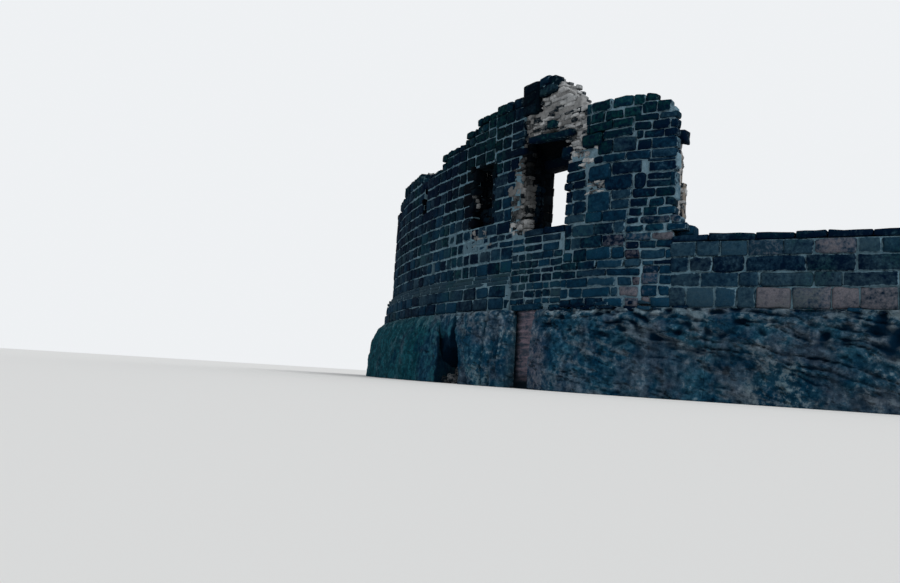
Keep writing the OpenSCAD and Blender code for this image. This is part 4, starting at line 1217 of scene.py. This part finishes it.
hidden.rubble(loop_s, loop_end, loop_foot_z, 6.40, 0.33, thick=(0.10, 0.2), soot=0.75)
lining = {"thick": (0.10, 0.12), "wide": (0.3, 0.6), "deep": 0.34, "miss": 0.0}
for d in (0.02, 0.34, 0.66, 0.98):
    hidden.rubble(loop_s - 0.05, loop_end + 0.1, 8.06, arch_z, d, **lining)
    if d > 0.3:
        hidden.rubble(loop_s, loop_end, 6.34, 6.44, d, **lining)
for d in (rear_d, 0.90):
    hidden.rubble(
        3.72, 6.25, 7.86, 8.52, d, deep=0.3, soot=0.97, miss=0.0, thick=(0.10, 0.16), wide=(0.2, 0.4)
    )
# The squared rear stones are painted near-black too, as shade inside the window.
cheeks = Masonry("dressed_rear_reveals", 74, joint=-0.012, soot=0.92)
for s, way, d0 in ((rear_window_end, -1, 0.68), (window_s, 1, rear_d)):
    cheeks.broken(s, way, d0, d0 + 0.62, 5.5, 7.52, thick=(0.24, 0.34), run=(0.3, 0.6), jut=(0.02, 0.03))
cheeks.build(dark_stone, edge=0.018, uneven=0.03, rough=0.02)
for a, b, low, high in (
    (9.22, 9.62, 7.62, 8.05), (9.30, 9.70, 6.45, 6.80), (9.16, 9.62, 5.84, 6.15), (9.28, 9.64, 7.10, 7.30),
):
    hidden.chunk(a, b, -0.05, 0.30, low, high, wear=1.0)
hidden.broken(
    slot_end, -1, -0.01, reveal_d, slot_sill_z, slot_head_z,
    thick=(0.2, 0.4), run=(0.2, 0.5), soot=0.9, jut=(0.01, 0.05),
)
hidden.build(dark_stone, edge=0.05, uneven=0.09, rough=0.05, back=1.0)

# Broken tops
# Rough stones lie along the tops, where the walls lost their upper courses: each
# stretch is given from where its whole courses stop up to its ragged top.
tops = Masonry("rubble_on_tops", 73, joint=0.02, soot=0.34)
for a, b, low, high in (
    (0.45, 1.05, 8.50, 8.58), (1.05, 3.0, 8.93, 8.96), (6.40, 8.04, 9.66, 10.06), (8.06, 8.6, 9.66, 9.94),
    (8.6, 9.48, 9.31, 9.92), (9.5, 10.5, 8.96, 9.58), (10.5, 12.1, 8.96, 9.18), (12.15, 12.75, 8.50, 9.18),
    (12.75, 15.45, 8.50, 8.78), (15.5, 17.5, 8.50, 8.96), (17.5, 18.4, 8.03, 8.94), (18.4, 19.2, 7.55, 8.86),
    (19.3, 20.3, 7.10, 8.50), (20.3, 21.7, 7.10, 8.00), (21.7, 22.3, 7.10, 7.55), (22.3, 24.4, 7.10, 7.20),
    (24.5, 26.4, 6.72, 6.78), (26.5, 27.4, 6.2, 6.3), (27.5, 28.5, 5.45, 5.6), (28.6, 29.5, 4.7, 4.8),
):
    for d in (0.18, 0.42, 0.66, 0.90, 1.12) if a > 20 else (0.30, 0.52, 0.74, 0.96):
        s = a
        while s < b - 0.1:
            long = tops.rng.uniform(0.22, 0.5)
            drop = 0.45 if d > 0.9 and low > 8.9 else 0.0
            z = low - 0.06 - drop
            while z < high - drop:
                up = z + tops.rng.uniform(0.14, 0.24)
                tops.chunk(s, min(s + long, b), d, d + 0.26, z, up, tone=tops.rng.random(), wear=0.9)
                z = up
            s += long
tops.rubble(
    round_s - 0.1, return_s + 0.1, bed_z, 7.1, 1.22, thick=(0.14, 0.26), wide=(0.5, 1.2), deep=0.11, miss=0.15
)
for k, (z0, z1) in enumerate(levels(bed_z, 0.6, 6)):
    tops.broken(finish_s - k // 2 * step, 1, 0.02, 1.25, z0, z1, jut=(0.0, 0.02))
tops.build(pale_rubble, edge=0.05, uneven=0.12, rough=0.06, back=1.0)

# Lintels and sills
# Single slabs of harder stone span the openings. The great window's outer one
# still bridges the gap although the wall has fallen away on both sides of it.
rear_lintel_s, rear_lintel_end, rear_lintel_z, rear_lintel_top = 3.65, 6.30, 7.49, 7.9


def slab(name, node, s0, s1, d0, d1, z0, z1, cut, each=99.0, tilt=0.0, soot=0.0):
    """Slabs end to end from s0 to s1, that stand for one node."""
    stones = Masonry(name, cut, joint=0.012)
    count = max(1, round((s1 - s0) / each))
    for a, b in levels(s0, (s1 - s0) / count, count):
        stones.stone(a, b, z0, z1, proud=-d0, deep=d1 - d0, wear=0.6, tilt=tilt, soot=soot)
    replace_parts(stones.build(dark_stone, edge=0.045, uneven=0.09, rough=0.04, back=1.0), node)


slab("great_window_lintel", "window_lintel", 3.62, 5.96, -0.06, 0.39, 8.27, 8.49, 41, tilt=0.048)
# The rear lintel, inside the window, is painted dark as shade.
slab(
    "great_window_rear_lintel", "window_rear_lintel", rear_lintel_s, rear_lintel_end, rear_d, 1.32,
    rear_lintel_z, rear_lintel_top, 45, soot=0.7,
)
slab("recess_lintel", "niche_lintel", 4.72, 6.37, -0.08, 0.35, 2.59, 2.81, 42, tilt=-0.02)
slab("great_window_sill", "window_sill", window_s, window_end, -0.03, 0.35, 5.07, 5.33, 43, each=0.9)
slab("slot_head_stone", "slot_lintel", 14.23, 14.99, -0.03, wall_t, slot_head_z, 8.57, 44)

# Inner facing
# Seen from the castle's side: squared brown sandstone in level courses, less
# sooted than the outside, robbed lower than the core on the broken tops.
inner_brown = stone_finish(
    "inner_sandstone",
    crust=(0.034, 0.030, 0.029),
    worn=(0.115, 0.095, 0.084),
    dulled=(0.085, 0.080, 0.076),
    flaked=(0.16, 0.135, 0.12),
    growth=(0.030, 0.048, 0.034),
    bare=(0.16, 0.11, 0.095),
)
finish_nodes("inner", inner_mortar)
inner_course_h, rear_sill_z = 0.46, 5.65
inner_return_end, inner_return_top = 28.75, 5.3
inside = Masonry("inner_facing", 51, face=-1, base=wall_t, deep=0.28)
for z0, z1 in levels(bed_z, inner_course_h, 14):
    mid = (z0 + z1) / 2
    spans = []
    if z1 < rear_sill_z:
        spans.append((0.0, loop_end))
    elif z0 < rear_lintel_z:
        spans.append((stepped(mid, 0.0, (6.2, 0.14), (7.4, 0.3)), window_s))
        spans.append((rear_window_end, loop_s if mid > 6.3 else loop_end))
    elif z0 < rear_lintel_top:
        spans += [(0.3, rear_lintel_s), (rear_lintel_end, loop_s)]
    elif mid < 8.9:
        spans.append((0.3 if mid < 8.3 else window_s, loop_s if mid < 8.1 else loop_end))
    if mid < low_top:
        left = stepped(mid, round_s, (7.125, 19.3), (7.59, 18.45), (8.055, 17.6))
        spans.append((loop_end, slot_end if mid < slot_sill_z else slot_s))
        spans.append((slot_end if mid < 8.2 else 15.0, left))
    if mid < inner_return_top:
        spans.append((return_s + 0.15, inner_return_end))
    for a, b in spans:
        if b - a > 0.3:
            inside.course(a, b, z0, z1, 0.45, 0.85)
inside.build(inner_brown)

# Broken end
# Bonding stones stick out where another wall once ran on from this one. They
# are built into the rubble between the two faces.
teeth = Masonry("bonding_stones", 81, joint=0.01)
for a, b, d0, d1, low, high in (
    (-0.22, 0.12, 0.40, 0.90, 7.60, 7.97), (-0.35, 0.02, 0.0, 0.36, 4.85, 5.222),
    (-0.56, 0.02, 0.35, 0.90, 4.71, 5.07),
):
    teeth.chunk(a, b, d0, d1, low, high, wear=0.9)
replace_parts(teeth.build(dark_stone, edge=0.06, uneven=0.10, back=1.0), "broken_end_teeth")

# Curtain wall
# A lower wall runs on from the broken end: four courses of long blocks, some
# brown where they scaled, under a coping of long slabs with rounded backs.
curtain_beds, coping_top = (bed_z, 3.20, 3.61, 4.07, 4.50), 4.725
finish_nodes("curtain_wall", dark_mortar)
curtain = Masonry("curtain_blocks", 61, joint=0.018, lime=0.72, wear=0.8, dull=(0.3, 1.2))
curtain.red_at = (
    (-2.65, 4.3, 0.3, 0.3), (-4.4, 4.3, 0.3, 0.3), (-4.0, 2.9, 1.7, 0.4), (-7.8, 2.9, 0.6, 0.4),
    (-6.4, 4.3, 0.4, 0.3),
)
courses = list(zip(curtain_beds, curtain_beds[1:]))
for (z0, z1), light, cuts in zip(courses[::-1], (0.75, 0.48, 0.60, 0.85), (
    (0.0, -0.74, -1.43, -2.18, -3.10, -3.87, -4.93, -5.5, -6.15, -6.9, -7.9, -8.8),
    (0.0, -0.55, -1.22, -2.1, -3.69, -4.92, -6.1, -7.2, -8.1, -8.8),
    (0.0, -0.9, -1.95, -2.5, -3.9, -4.6, -5.9, -6.8, -8.1, -8.8),
    (0.0, -0.5, -1.3, -1.9, -2.42, -3.35, -4.33, -5.01, -5.9, -6.7, -7.5, -8.8),
)):
    for b, a in zip(cuts, cuts[1:]):
        red = curtain.rng.uniform(0.0, 0.5) * light
        curtain.stone(a, b, z0, z1, proud=0.050, red=red, tone=light * curtain.rng.uniform(0.8, 1.3))
curtain.face, curtain.base = -1, curtain_t
for z0, z1 in courses:
    curtain.course(-curtain_len, 0.0, z0, z1, 0.6, 1.1, proud=0.02)
curtain.broken(
    -curtain_len, -1, 0.04, curtain_t - 0.02, bed_z, curtain_beds[-1],
    thick=(0.3, 0.45), run=(0.3, 0.5), jut=(0.0, 0.015),
)
curtain.build(dark_stone, edge=0.030, uneven=0.045)
coping = Masonry("coping_slabs", 62, joint=0.022, lime=0.2, dull=(0.2, 0.9))
joints = (0.0, -1.09, -2.37, -3.40, -4.21, -5.3, -6.4, -7.6, -8.8)
for b, a in zip(joints, joints[1:]):
    tone = coping.rng.uniform(0.1, 0.5)
    coping.chunk(a, b, -0.035, curtain_t + 0.035, curtain_beds[-1], coping_top, wear=0.7, tone=tone)
slabs = coping.build(dark_stone, edge=0.028, uneven=0.045, back=1.0)
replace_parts(slabs, "curtain_coping")

# Fallen stones
# Pale stones that dropped from the wall lie loose in the cleft of the rock,
# with their corners broken off.
fallen = Masonry("fallen_stones", 91, joint=0.0)
for s, d, long, deep, high, tilt in (
    (9.97, 0.13, 0.62, 0.42, 0.38, 0.1), (10.52, 0.20, 0.47, 0.32, 0.29, -0.15),
    (10.28, -0.25, 0.30, 0.26, 0.2, 0.2), (10.75, -0.30, 0.26, 0.22, 0.18, 0.0),
    (9.85, -0.30, 0.24, 0.2, 0.16, -0.1), (10.2, 0.10, 0.45, 0.3, 0.66, 0.2),
    (10.62, 0.14, 0.38, 0.3, 0.52, -0.2), (9.75, -0.42, 0.42, 0.3, 0.34, 0.2),
    (10.15, -0.50, 0.34, 0.26, 0.26, -0.1), (10.55, -0.52, 0.40, 0.3, 0.22, 0.1),
    (9.62, 0.10, 0.4, 0.3, 0.62, 0.15),
):
    low = max(0.03, high - 0.36)
    tone = fallen.rng.random()
    fallen.chunk(s - long / 2, s + long / 2, d, d + deep, low, high, wear=1.0, tone=tone, tilt=tilt)
heap = fallen.build(pale_rubble, edge=0.11, uneven=0.14, rough=0.05, back=1.0)
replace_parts(heap, "cleft_stones")
